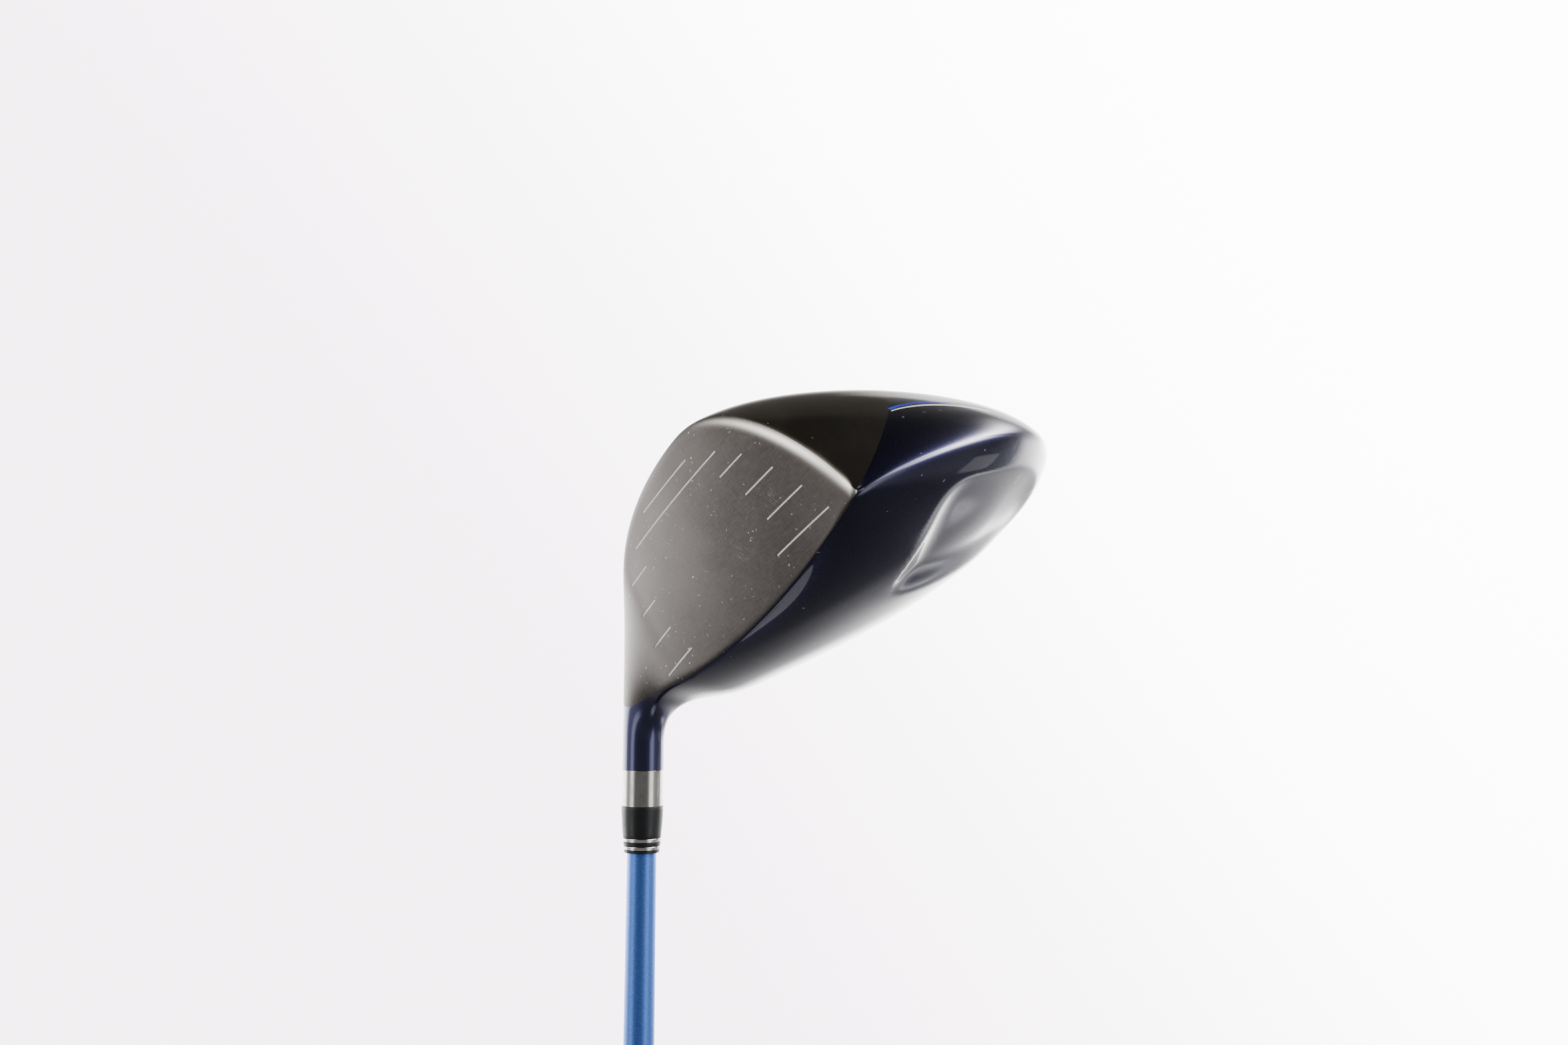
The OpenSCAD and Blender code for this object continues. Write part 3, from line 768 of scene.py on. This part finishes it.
def grip_pattern(angle, r, z):
    """Moulded tread: rows of slanted dashes, in panels, with plain bands between them."""
    outside = r > SHAFT_BUTT_R
    rows = z / TREAD_ROW
    row = np.floor(rows)
    slant = np.where(row % 2 == 0, 1.0, -1.0)
    turn = angle / (2 * math.pi) * TREAD_DASHES + slant * (rows - row) * 0.6 + row * 0.5
    dash = soft((0.24 - np.abs((turn % 1) - 0.5)) / 0.10)
    inside_row = soft((0.36 - np.abs(rows - row - 0.5)) / 0.08)
    panel = sum(soft((z - a) / 2) * soft((b - z) / 2) for a, b in TREAD_PANELS)
    rings = sum(np.exp(-((z - c) / 0.8) ** 2) for c in TREAD_RINGS)
    return np.where(outside, -TREAD_DEPTH * dash * inside_row * panel - TREAD_RING_DEPTH * rings, 0)


def build_grip():
    low = CAP_T + 0.01
    mouth_z, mouth_r = GRIP_STATIONS[-1]
    butt = [(CAP_R, 0), (BUTT_R - 0.5, 0.0), (BUTT_R - 0.15, 0.15), (BUTT_R, 0.5), (BUTT_R, 8.8),
            (BUTT_R - 0.1, 9.0), (12.4, 9.8)]
    side = [(float(grip_radius(z)), float(z)) for z in np.linspace(GRIP_LOW, GRIP_HIGH, 420)]
    mouth = [(mouth_r + 0.3, mouth_z - 0.6), (mouth_r, mouth_z)]
    bore = [(shaft_r(GRIP_LEN) + TAPE_GAP, GRIP_LEN), (shaft_r(low) + TAPE_GAP, low), (CAP_R, low)]
    return lathe("grip_rubber", butt + side + mouth + bore, 156, grip_pattern)


def build_cap():
    outer = CAP_R - 0.04
    profile = bevelled([(VENT_R, 0), (outer, 0), (outer, CAP_T), (VENT_R, CAP_T)], 0.3)
    return lathe("butt_cap", profile, 128)


# ---------------- shader helpers
class Graph:
    """Adds and links nodes in one node tree."""

    def __init__(self, tree):
        self.tree = tree
        tree.nodes.clear()

    def add(self, kind, values=None, **props):
        node = self.tree.nodes.new(kind)
        for key, value in props.items():
            setattr(node, key, value)
        for key, value in (values or {}).items():
            self.put(node.inputs[key], value)
        return node

    def put(self, socket, value):
        if isinstance(value, bpy.types.NodeSocket):
            self.tree.links.new(value, socket)
        else:
            socket.default_value = value

    def math(self, operation, *values):
        """One operation, carried on from the first value to the last."""
        total = values[0]
        for value in values[1:]:
            total = self.add("ShaderNodeMath", {0: total, 1: value}, operation=operation).outputs[0]
        return total

    def times(self, *values):
        return self.math("MULTIPLY", *values)

    def plus(self, *values):
        return self.math("ADD", *values)

    def biggest(self, *values):
        return self.math("MAXIMUM", *values)

    def vector(self, operation, a, b, output=0):
        return self.add("ShaderNodeVectorMath", {0: a, 1: b}, operation=operation).outputs[output]

    def ramp(self, value, low, high, out_low=0.0, out_high=1.0):
        node = self.add("ShaderNodeMapRange", {0: value, 1: low, 2: high, 3: out_low, 4: out_high},
                        interpolation_type="SMOOTHSTEP")
        return node.outputs[0]

    def mix_color(self, factor, a, b):
        node = self.add("ShaderNodeMix", data_type="RGBA")
        for index, value in ((0, factor), (6, rgba(a)), (7, rgba(b))):
            self.put(node.inputs[index], value)
        return node.outputs[2]

    def turned(self, angles=(0, 0, 0), stretch=(1, 1, 1)):
        """Place on the object, turned and then stretched."""
        coord = self.add("ShaderNodeTexCoord").outputs["Object"]
        spun = self.add("ShaderNodeMapping", {"Vector": coord, "Rotation": angles}).outputs[0]
        return self.add("ShaderNodeMapping", {"Vector": spun, "Scale": stretch}).outputs[0]

    def height(self):
        return self.add("ShaderNodeSeparateXYZ", {0: self.turned()}).outputs[2]

    def noise(self, vector, scale, detail=2.0, rough=0.5, output=0):
        values = {"Vector": vector, "Scale": scale, "Detail": detail, "Roughness": rough}
        return self.add("ShaderNodeTexNoise", values).outputs[output]

    def cells(self, vector, scale):
        """Distance to the middle of a random cell, and a random value for each cell."""
        node = self.add("ShaderNodeTexVoronoi", {"Vector": vector, "Scale": scale})
        chance = self.add("ShaderNodeSeparateColor", {0: node.outputs["Color"]}).outputs[0]
        return node.outputs["Distance"], chance

    def bump(self, height, strength, distance, normal=None):
        values = {"Height": height, "Strength": strength, "Distance": distance}
        if normal is not None:
            values["Normal"] = normal
        return self.add("ShaderNodeBump", values).outputs[0]


def rgba(value):
    return value if isinstance(value, bpy.types.NodeSocket) else (*value, 1.0)


def scratches(g, angles, across_scale, thin=0.012, amount=0.5, seed=0.0):
    """Mask of long fine lines: contours of a noise that is stretched along one direction."""
    coord = g.turned(angles, (across_scale, across_scale * 0.045, across_scale * 0.045))
    line = g.math("ABSOLUTE", g.math("SUBTRACT", g.noise(coord, 1.0 + seed, 1.0), 0.5), 0.0)
    line = g.ramp(line, 0.0, thin, 1.0, 0.0)
    patch = g.noise(g.turned((seed, 0.3, seed * 2)), 60.0 + 9 * seed, 2.0)
    return g.times(line, g.ramp(patch, 0.62 - 0.3 * amount, 0.78 - 0.3 * amount))


def nicks(g, angles, scale, size, share, stretch, seed=0.0):
    """Mask of a few short ragged marks, one in some of the cells."""
    coord = g.turned(angles, (scale * stretch, scale * 0.6, scale))
    pull = g.vector("MULTIPLY", g.noise(coord, 2.6, output="Color"), (0.9, 0.9, 0.9))
    moved = g.vector("ADD", g.vector("ADD", coord, pull), (seed, seed * 0.7, 0))
    distance, chance = g.cells(moved, 1.0)
    return g.times(g.ramp(distance, size * 0.5, size, 1.0, 0.0), g.math("LESS_THAN", chance, share))


def material(name, shown):
    mat = bpy.data.materials.new(name)
    mat.use_nodes = True
    mat.diffuse_color = (*shown, 1.0)
    g = Graph(mat.node_tree)
    bsdf = g.add("ShaderNodeBsdfPrincipled")
    g.add("ShaderNodeOutputMaterial", {"Surface": bsdf.outputs[0]})
    return mat, g, bsdf


def fill(g, bsdf, values):
    for key, value in values.items():
        g.put(bsdf.inputs[key], rgba(value) if key == "Base Color" else value)


def lean(degrees):
    """Turns that lay a texture's x axis square to a grain at this angle from the score lines."""
    return (0.0, -LIE - math.radians(degrees), 0.0)


# ---------------- materials
FACE_DARK, FACE_PALE, FACE_GRAIN = (0.066, 0.059, 0.057), (0.082, 0.073, 0.070), (0.125, 0.115, 0.111)
# the second colour on the next line is a painted highlight, laid along the face's lower edge at the toe
FACE_MARK, FACE_EDGE_HIGHLIGHT = (0.40, 0.40, 0.41), (0.86, 0.84, 0.81)
BAND_DARK, BAND_PALE, BAND_SCRATCH = (0.27, 0.245, 0.21), (0.36, 0.33, 0.29), (0.62, 0.60, 0.56)
# the third colour on the next line is a lighter navy painted on the neck as painted light; the real paint is
# one navy all over
NAVY, NAVY_FLAKE, NAVY_NECK_PAINTED_LIGHT = (0.011, 0.011, 0.038), (0.022, 0.022, 0.076), (0.046, 0.047, 0.125)
NAVY_CHIP = (0.45, 0.45, 0.50)
# heights between which the neck's painted light fades out
NECK_LOW, NECK_HIGH = 1.078, 1.104
SHAFT_BLUE, SHAFT_FLAKE, SHAFT_CLOUD = (0.080, 0.200, 0.66), (0.11, 0.27, 0.80), (0.07, 0.16, 0.50)
RING_MARK = (0.25, 0.22, 0.20)


def face_material():
    mat, g, bsdf = material("brushed_titanium", (0.42, 0.40, 0.38))
    grain = g.noise(g.turned(lean(3), (5200, 900, 330)), 1.0, 3.0, 0.65)
    cross = g.noise(g.turned(lean(86), (4600, 800, 380)), 1.0, 3.0, 0.65)
    cloud = g.noise(g.turned(), 55.0, 3.0)
    patch = g.noise(g.turned((0.2, 0.5, 0.1)), 130.0, 2.0)
    fine = g.plus(g.times(grain, 0.55), g.times(cross, 0.45))
    marks = g.biggest(
        nicks(g, lean(40), 480, 0.22, 0.03, 3.0), nicks(g, lean(-50), 620, 0.22, 0.035, 2.4, 3.1),
        nicks(g, lean(10), 900, 0.28, 0.04, 1.3, 7.7), scratches(g, lean(64), 900, 0.006, 0.15, 0.4))
    marks = g.times(marks, g.ramp(patch, 0.42, 0.60, 0.15, 1.0))
    tone = g.mix_color(g.ramp(cloud, 0.35, 0.65), FACE_DARK, FACE_PALE)
    tone = g.mix_color(g.times(g.ramp(fine, 0.36, 0.64), 0.40), tone, FACE_GRAIN)
    tone = g.mix_color(marks, tone, FACE_MARK)
    # painted highlight: the face's lower edge at the toe is painted near-white, where its rounding catches
    # the light
    edge = g.add("ShaderNodeAttribute", attribute_name="edge").outputs["Fac"]
    tone = g.mix_color(g.times(edge, g.ramp(fine, 0.2, 0.6, 0.7, 1.0)), tone, FACE_EDGE_HIGHLIGHT)
    rough = g.plus(g.ramp(fine, 0.3, 0.7, 0.32, 0.44), g.times(marks, -0.1))
    normal = g.bump(marks, 0.4, -0.00008, g.bump(fine, 0.30, 0.00005))
    fill(g, bsdf, {"Base Color": tone, "Metallic": 1.0, "Roughness": rough, "Normal": normal})
    return mat


def band_material():
    mat, g, bsdf = material("polished_titanium", (0.30, 0.27, 0.23))
    smear = g.noise(g.turned((0.3, 0.2, 0.5), (30, 60, 30)), 1.0, 4.0, 0.6)
    lines = g.biggest(
        scratches(g, (0.2, 0.9, 0.4), 900, 0.005, 0.10, 0.2),
        scratches(g, (0.6, -0.5, 0.1), 800, 0.005, 0.10, 0.7),
        scratches(g, (1.3, 0.2, 0.9), 1000, 0.005, 0.12, 1.3),
        nicks(g, (0.4, 1.2, 0.3), 240, 0.12, 0.08, 5.0))
    tone = g.mix_color(g.ramp(smear, 0.3, 0.7), BAND_DARK, BAND_PALE)
    tone = g.mix_color(g.times(lines, 0.7), tone, BAND_SCRATCH)
    rough = g.plus(g.ramp(smear, 0.3, 0.7, 0.10, 0.17), g.times(lines, 0.35))
    polish = g.noise(g.turned((0, 0.5, 0), (500, 4000, 500)), 1.0, 2.0)
    normal = g.bump(polish, 0.04, 0.00003, g.bump(lines, 0.25, -0.00004))
    fill(g, bsdf, {"Base Color": tone, "Metallic": 1.0, "Roughness": rough, "Normal": normal})
    return mat


def paint_material():
    """Navy paint with fine flake under a clear coat, with painted light: lighter down the neck, where more
    light falls.
    """
    mat, g, bsdf = material("navy_paint", (0.015, 0.018, 0.07))
    _, glint = g.cells(g.turned((0.2, 0.4, 0.1)), 7000.0)
    chips = g.biggest(
        nicks(g, (0.7, 0.3, 0.5), 420, 0.18, 0.02, 2.5), nicks(g, (0.1, 1.0, 0.9), 560, 0.20, 0.02, 1.6, 5.2))
    lines = g.biggest(
        scratches(g, (0.4, 0.8, 0.2), 500, 0.006, 0.05, 0.5),
        scratches(g, (1.2, -0.4, 0.6), 620, 0.006, 0.05, 1.1))
    tone = g.mix_color(g.ramp(glint, 0.55, 1.0), NAVY, NAVY_FLAKE)
    # painted light: the neck is painted a lighter navy, fading out between the two heights
    tone = g.mix_color(g.ramp(g.height(), NECK_LOW, NECK_HIGH, 1.0, 0.0), tone, NAVY_NECK_PAINTED_LIGHT)
    tone = g.mix_color(g.times(chips, 0.8), tone, NAVY_CHIP)
    fill(g, bsdf, {
        "Base Color": tone, "Metallic": 1.0, "Roughness": g.plus(0.31, g.times(chips, 0.3)),
        "Normal": g.bump(glint, 0.12, 0.00002),
        "Coat Weight": 1.0, "Coat Roughness": g.plus(0.025, g.times(lines, 0.25)), "Coat IOR": 1.5,
        "Coat Normal": g.bump(g.biggest(lines, chips), 0.25, -0.00003),
    })
    return mat


def turned_metal(name, shown, rough, line_scale):
    """Metal with fine lines round the shaft axis, and smudges."""
    mat, g, bsdf = material(name, shown)
    lines = g.noise(g.turned((0, 0, 0), (40, 40, line_scale)), 1.0, 3.0, 0.7)
    smears = g.noise(g.turned((0.4, 0.2, 0.7), (1, 1, 0.6)), 260.0, 4.0, 0.6)
    marks = nicks(g, (0.6, 0.3, 0.2), 500, 0.14, 0.06, 3.0)
    tone = g.mix_color(g.ramp(smears, 0.40, 0.72), shown, tuple(0.72 * c for c in shown))
    tone = g.mix_color(g.times(marks, 0.5), tone, RING_MARK)
    roughness = g.plus(g.ramp(smears, 0.3, 0.75, rough, rough + 0.1), g.times(lines, 0.05))
    normal = g.bump(marks, 0.2, -0.00004, g.bump(lines, 0.10, 0.00003))
    fill(g, bsdf, {"Base Color": tone, "Metallic": 1.0, "Roughness": roughness, "Normal": normal})
    return mat


def plastic_material(name, shown, rough):
    mat, g, bsdf = material(name, shown)
    smears = g.noise(g.turned((0.1, 0.6, 0.3)), 300.0, 4.0, 0.6)
    lines = scratches(g, (0.1, 0.4, 0.2), 1500, seed=0.6)
    tone = g.mix_color(g.times(lines, 0.4), shown, tuple(min(1, 4 * c + 0.05) for c in shown))
    roughness = g.plus(g.ramp(smears, 0.3, 0.7, rough, rough + 0.12), g.times(lines, 0.2))
    normal = g.bump(g.noise(g.turned(), 2200.0, 2.0), 0.03, 0.00003)
    fill(g, bsdf, {"Base Color": tone, "Roughness": roughness, "IOR": 1.48, "Normal": normal})
    return mat


def shaft_material():
    mat, g, bsdf = material("shaft_blue", (0.10, 0.26, 0.55))
    _, glint = g.cells(g.turned((0.2, 0.4, 0.1)), 4200.0)
    cloud = g.noise(g.turned((0, 0, 0), (1, 1, 0.2)), 120.0, 3.0)
    tone = g.mix_color(g.ramp(glint, 0.2, 1.0), SHAFT_BLUE, SHAFT_FLAKE)
    tone = g.mix_color(g.ramp(cloud, 0.3, 0.8, 0.0, 0.15), tone, SHAFT_CLOUD)
    rough = g.ramp(g.height(), 0.3, 1.05, 0.46, 0.42)
    fill(g, bsdf, {"Base Color": tone, "Metallic": 0.85, "Roughness": rough, "Coat Weight": 0.12,
                   "Coat Roughness": 0.30, "Normal": g.bump(glint, 0.10, 0.00002)})
    return mat


def rubber_material(name, shown, rough):
    mat, g, bsdf = material(name, shown)
    grit = g.noise(g.turned(), 1800.0, 4.0, 0.7)
    rubbed = g.noise(g.turned((0.3, 0, 0.2), (1, 1, 0.4)), 45.0, 3.0)
    tone = g.mix_color(g.ramp(rubbed, 0.45, 0.7), shown, tuple(min(1, 1.7 * c + 0.008) for c in shown))
    roughness = g.ramp(rubbed, 0.4, 0.75, rough, rough - 0.16)
    fill(g, bsdf, {"Base Color": tone, "Roughness": roughness, "Normal": g.bump(grit, 0.35, 0.00008)})
    return mat


def cast_material(name, shown, rough, metallic, grain):
    mat, g, bsdf = material(name, shown)
    lumps = g.noise(g.turned((0.2, 0.1, 0.5)), grain, 5.0, 0.6)
    tone = g.mix_color(g.ramp(lumps, 0.35, 0.7), tuple(0.8 * c for c in shown), shown)
    roughness = g.ramp(lumps, 0.3, 0.7, rough, min(1, rough + 0.15))
    normal = g.bump(lumps, 0.3, 0.0001)
    fill(g, bsdf, {"Base Color": tone, "Metallic": metallic, "Roughness": roughness, "Normal": normal})
    return mat


def wear(obj, mat):
    obj.data.materials.clear()
    obj.data.materials.append(mat)


# ---------------- camera and floor
AZIMUTH, ELEVATION, TILT = math.radians(50.781), math.radians(-6.504), math.radians(0.22)
DISTANCE, ASIDE, ABOVE = 0.40288, 0.042204, 0.084408
LENS = 31.02
FLOOR_RINGS, FLOOR_SIDES = (0.02, 0.1, 0.2, 0.3), 96


def camera_axes():
    ca, sa, ce, se = math.cos(AZIMUTH), math.sin(AZIMUTH), math.cos(ELEVATION), math.sin(ELEVATION)
    back = Vector((sa * ce, -ca * ce, se))
    level = Vector((0, 0, 1)).cross(back).normalized()
    upright = back.cross(level)
    right = math.cos(TILT) * level + math.sin(TILT) * upright
    up = -math.sin(TILT) * level + math.cos(TILT) * upright
    return right, up, back


def add_camera():
    right, up, back = camera_axes()
    data = bpy.data.cameras.new("camera")
    data.lens = LENS
    data.sensor_width = 36.0
    data.clip_start = 0.01
    data.clip_end = 50.0
    cam = bpy.data.objects.new("camera", data)
    bpy.context.scene.collection.objects.link(cam)
    where = back * DISTANCE + right * ASIDE + up * ABOVE + Vector((0, 0, RING_Z / 1000))
    turn = Matrix((right, up, back)).transposed().to_4x4()
    cam.matrix_world = Matrix.Translation(where) @ turn
    bpy.context.scene.camera = cam


def add_floor():
    n = FLOOR_SIDES
    angles = np.linspace(0, 2 * math.pi, n, endpoint=False)
    points = [(0, 0, 0)]
    for r in FLOOR_RINGS:
        points += [(r * math.cos(a), r * math.sin(a), 0) for a in angles]
    faces = [(0, 1 + j, 1 + (j + 1) % n) for j in range(n)]
    for i in range(len(FLOOR_RINGS) - 1):
        for j in range(n):
            a, b = 1 + i * n + j, 1 + i * n + (j + 1) % n
            faces.append((a, a + n, b + n, b))
    floor = new_object("floor", points, faces)
    mat, g, bsdf = material("floor_paper", (0.86, 0.86, 0.87))
    grain = g.noise(g.turned(), 140.0, 4.0)
    tone = g.mix_color(g.ramp(grain, 0.3, 0.7), (0.70, 0.70, 0.71), (0.73, 0.73, 0.74))
    fill(g, bsdf, {"Base Color": tone, "Roughness": 0.9, "Normal": g.bump(grain, 0.05, 0.0005)})
    wear(floor, mat)


# ---------------- light
# A direction is told by its shares toward the camera, aside (right) and above, and by its azimuth.
SEEN_STRENGTH = 12.0
SEEN_LEFT, SEEN_RIGHT = (0.53, 0.45, 0.51), (1.18, 1.17, 1.19)
LOW_TINT, HIGH_TINT = (1.0, 0.99, 0.98), (1.0, 0.97, 0.92)
SWEEP, LOW_SWEEP, HIGH_SWEEP = 9.0, 0.5, 0.08
ROOM = (0.05, 0.16)
FLASH, HIGH_BOX, SHEET, NEAR, LOW_FILL = 42.0, 6.0, 2.6, 0.06, 1.8

# boxes of light: azimuth and height, each from, to and softness, then strength
BOXES = {
    "left_box": ((-1.16, -0.84, 0.08), (-0.45, 0.55, 0.15), 2.2),
    "right_box": ((0.76, 1.14, 0.10), (-0.40, 0.50, 0.15), 2.0),
    "left_fill": ((-1.85, -1.15, 0.12), (-0.45, 0.55, 0.15), 0.40),
    "right_fill": ((0.95, 1.70, 0.12), (-0.30, 0.40, 0.12), 0.25),
    "pane": ((1.70, 1.88, 0.015), (-0.28, -0.08, 0.02), 0.9),
}


def window(g, value, low, high, edge):
    """1 between low and high, with soft ends."""
    return g.times(g.ramp(value, low - edge, low + edge), g.ramp(value, high - edge, high + edge, 1.0, 0.0))


def bell(g, value, width):
    """exp(-(value / width)^2)"""
    scaled = g.math("DIVIDE", value, width)
    return g.math("POWER", math.e, g.times(scaled, scaled, -1.0))


def lobe(g, a, a_mid, a_wide, b, b_mid, b_wide):
    """A soft spot round one pair of direction values."""
    first = bell(g, g.math("SUBTRACT", a, a_mid), a_wide)
    return g.times(first, bell(g, g.math("SUBTRACT", b, b_mid), b_wide))


def sweep_light(g, toward, aside, above):
    """The white sweep behind and round the sides, with two dim places low down."""
    over, under = g.math("MAXIMUM", above, 0.0), g.math("MINIMUM", above, 0.0)
    height = g.times(bell(g, over, 0.21), bell(g, under, 0.36))
    level = g.ramp(above, -0.15, 0.35, LOW_SWEEP, HIGH_SWEEP)
    left = g.times(g.math("MAXIMUM", g.times(aside, -1.0), 0.0), 0.36)
    behind = g.math("SUBTRACT", toward, left)
    edge = g.times(g.ramp(behind, -0.42, -0.56), g.ramp(behind, -0.45, -0.92, 0.45, 1.0))
    right_shade = g.times(window(g, toward, -0.90, -0.56, 0.12), window(g, above, -0.58, -0.22, 0.10),
                          g.ramp(aside, 0.30, 0.50, 0.0, 0.72))
    left_shade = g.times(g.ramp(above, -0.28, -0.46, 0.0, 0.82), g.ramp(aside, 0.42, 0.10))
    full = g.times(edge, g.plus(g.times(height, SWEEP), level))
    return g.times(full, g.math("SUBTRACT", 1.0, right_shade), g.math("SUBTRACT", 1.0, left_shade))


def studio_light(g, toward, aside, above):
    """The sweep, a dark room in front and above, and the lamps."""
    azimuth = g.math("ARCTAN2", aside, toward)
    total = g.plus(sweep_light(g, toward, aside, above), g.ramp(above, 0.5, -0.4, *ROOM))
    for across_it, up_it, power in BOXES.values():
        total = g.plus(total, g.times(window(g, azimuth, *across_it), window(g, above, *up_it), power))
    flash = g.times(lobe(g, toward, -0.10, 0.38, above, 0.57, 0.085), g.ramp(aside, 0.35, 0.60))
    high = g.times(lobe(g, toward, 0.10, 0.45, above, 0.62, 0.20), g.ramp(aside, -0.30, -0.60))
    sheet = g.times(window(g, above, 0.0, 0.54, 0.04), g.ramp(toward, -0.72, -0.84),
                    g.ramp(aside, 0.02, 0.20))
    near = lobe(g, toward, 1.0, 0.18, above, 0.0, 0.5)
    low_fill = g.times(window(g, toward, -0.60, -0.36, 0.06), window(g, above, -0.60, -0.42, 0.06),
                       g.ramp(aside, 0.62, 0.74))
    lamps = ((flash, FLASH), (high, HIGH_BOX), (sheet, SHEET), (near, NEAR), (low_fill, LOW_FILL))
    for shape, power in lamps:
        total = g.plus(total, g.times(shape, power))
    return total


def add_world():
    world = bpy.data.worlds.new("studio")
    world.use_nodes = True
    bpy.context.scene.world = world
    g = Graph(world.node_tree)
    way = g.add("ShaderNodeTexCoord").outputs["Generated"]
    aside, above, toward = (g.vector("DOT_PRODUCT", way, tuple(axis), "Value") for axis in camera_axes())
    plain = g.ramp(g.plus(aside, g.times(above, 0.7)), -0.30, 0.55)
    seen = g.mix_color(plain, SEEN_LEFT, SEEN_RIGHT)
    seen_light = g.add("ShaderNodeBackground", {"Color": seen, "Strength": SEEN_STRENGTH})
    tint = g.mix_color(g.ramp(above, -0.2, 0.8), LOW_TINT, HIGH_TINT)
    strength = studio_light(g, toward, aside, above)
    real_light = g.add("ShaderNodeBackground", {"Color": tint, "Strength": strength})
    ray = g.add("ShaderNodeLightPath").outputs["Is Camera Ray"]
    both = g.add("ShaderNodeMixShader", {0: ray, 1: real_light.outputs[0], 2: seen_light.outputs[0]})
    g.add("ShaderNodeOutputWorld", {"Surface": both.outputs[0]})


# ---------------- put it together
head = build_head()
hosel = build_hosel()
shaft_tube, grip_rubber, butt_cap = build_shaft(), build_grip(), build_cap()
score_paint = bars("score_paint", SCORE_WIDTH + 0.02, -SCORE_DEPTH - 0.04, -SCORE_FILL, -0.01)

navy = paint_material()
black = plastic_material("ferrule_black", (0.007, 0.009, 0.011), 0.34)
silver = turned_metal("ferrule_silver", (0.80, 0.79, 0.77), 0.16, 6000)
inner = cast_material("inner_metal", (0.32, 0.31, 0.30), 0.45, 1.0, 220)

metal_collar = turned_metal("polished_collar", (0.62, 0.60, 0.58), 0.14, 5000)
for piece, slot, node, mat in (
    (head["face_metal"], "bare_titanium", "face_plate", face_material()),
    (head["band_metal"], "polished_titanium", "sole_band", band_material()),
    (head["skirt_paint"], "navy_paint", "skirt_shell", navy),
    (head["crown_paint"], "navy_paint", "crown_shell", navy),
    (head["neck_paint"], "navy_paint", "hosel_neck", navy),
    (hosel["hosel_paint"], "hosel_metal", "hosel_tube", navy),
    (hosel["collar_metal"], "polished_collar", "hosel_collar", metal_collar),
    (hosel["ferrule_sleeve"], "ferrule_black", "ferrule_body", black),
    (hosel["trim_ring_1"], "ferrule_silver", "ferrule_ring_low", silver),
    (hosel["ferrule_gap"], "ferrule_black", "ferrule_spacer", black),
    (hosel["trim_ring_2"], "ferrule_silver", "ferrule_ring_high", silver),
    (hosel["ferrule_end"], "ferrule_black", "ferrule_tail", black),
    (shaft_tube, "shaft_blue", "shaft", shaft_material()),
    (grip_rubber, "grip_rubber", "grip", rubber_material("grip_rubber", (0.018, 0.018, 0.019), 0.72)),
    (butt_cap, "cap_rubber", "grip_cap", rubber_material("cap_rubber", (0.03, 0.03, 0.032), 0.6)),
):
    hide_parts(node)
    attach(piece, "root")
    wear(piece, mat)

for piece, mat in (
    (score_paint, cast_material("score_white", (0.93, 0.94, 0.97), 0.4, 0.0, 900)),
    (head["stripe_blue"], plastic_material("stripe_blue", (0.03, 0.05, 0.42), 0.12)),
    (head["stripe_white"], plastic_material("stripe_white", (0.80, 0.81, 0.84), 0.12)),
):
    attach(piece, "root")
    wear(piece, mat)

for name in ("weight_pad", "sole_rib_heel", "sole_rib_toe", "crown_rib"):
    wear(nodes[name], inner)
wear(nodes["epoxy_bond"], cast_material("epoxy", (0.70, 0.62, 0.36), 0.3, 0.0, 500))
wear(nodes["tip_plug"], cast_material("brass_plug", (0.72, 0.52, 0.20), 0.35, 1.0, 400))
wear(nodes["glue_patch"], cast_material("soft_glue", (0.72, 0.60, 0.30), 0.35, 0.0, 150))
wear(nodes["grip_tape"], cast_material("paper_tape", (0.72, 0.69, 0.60), 0.8, 0.0, 600))

add_camera()
add_floor()
add_world()
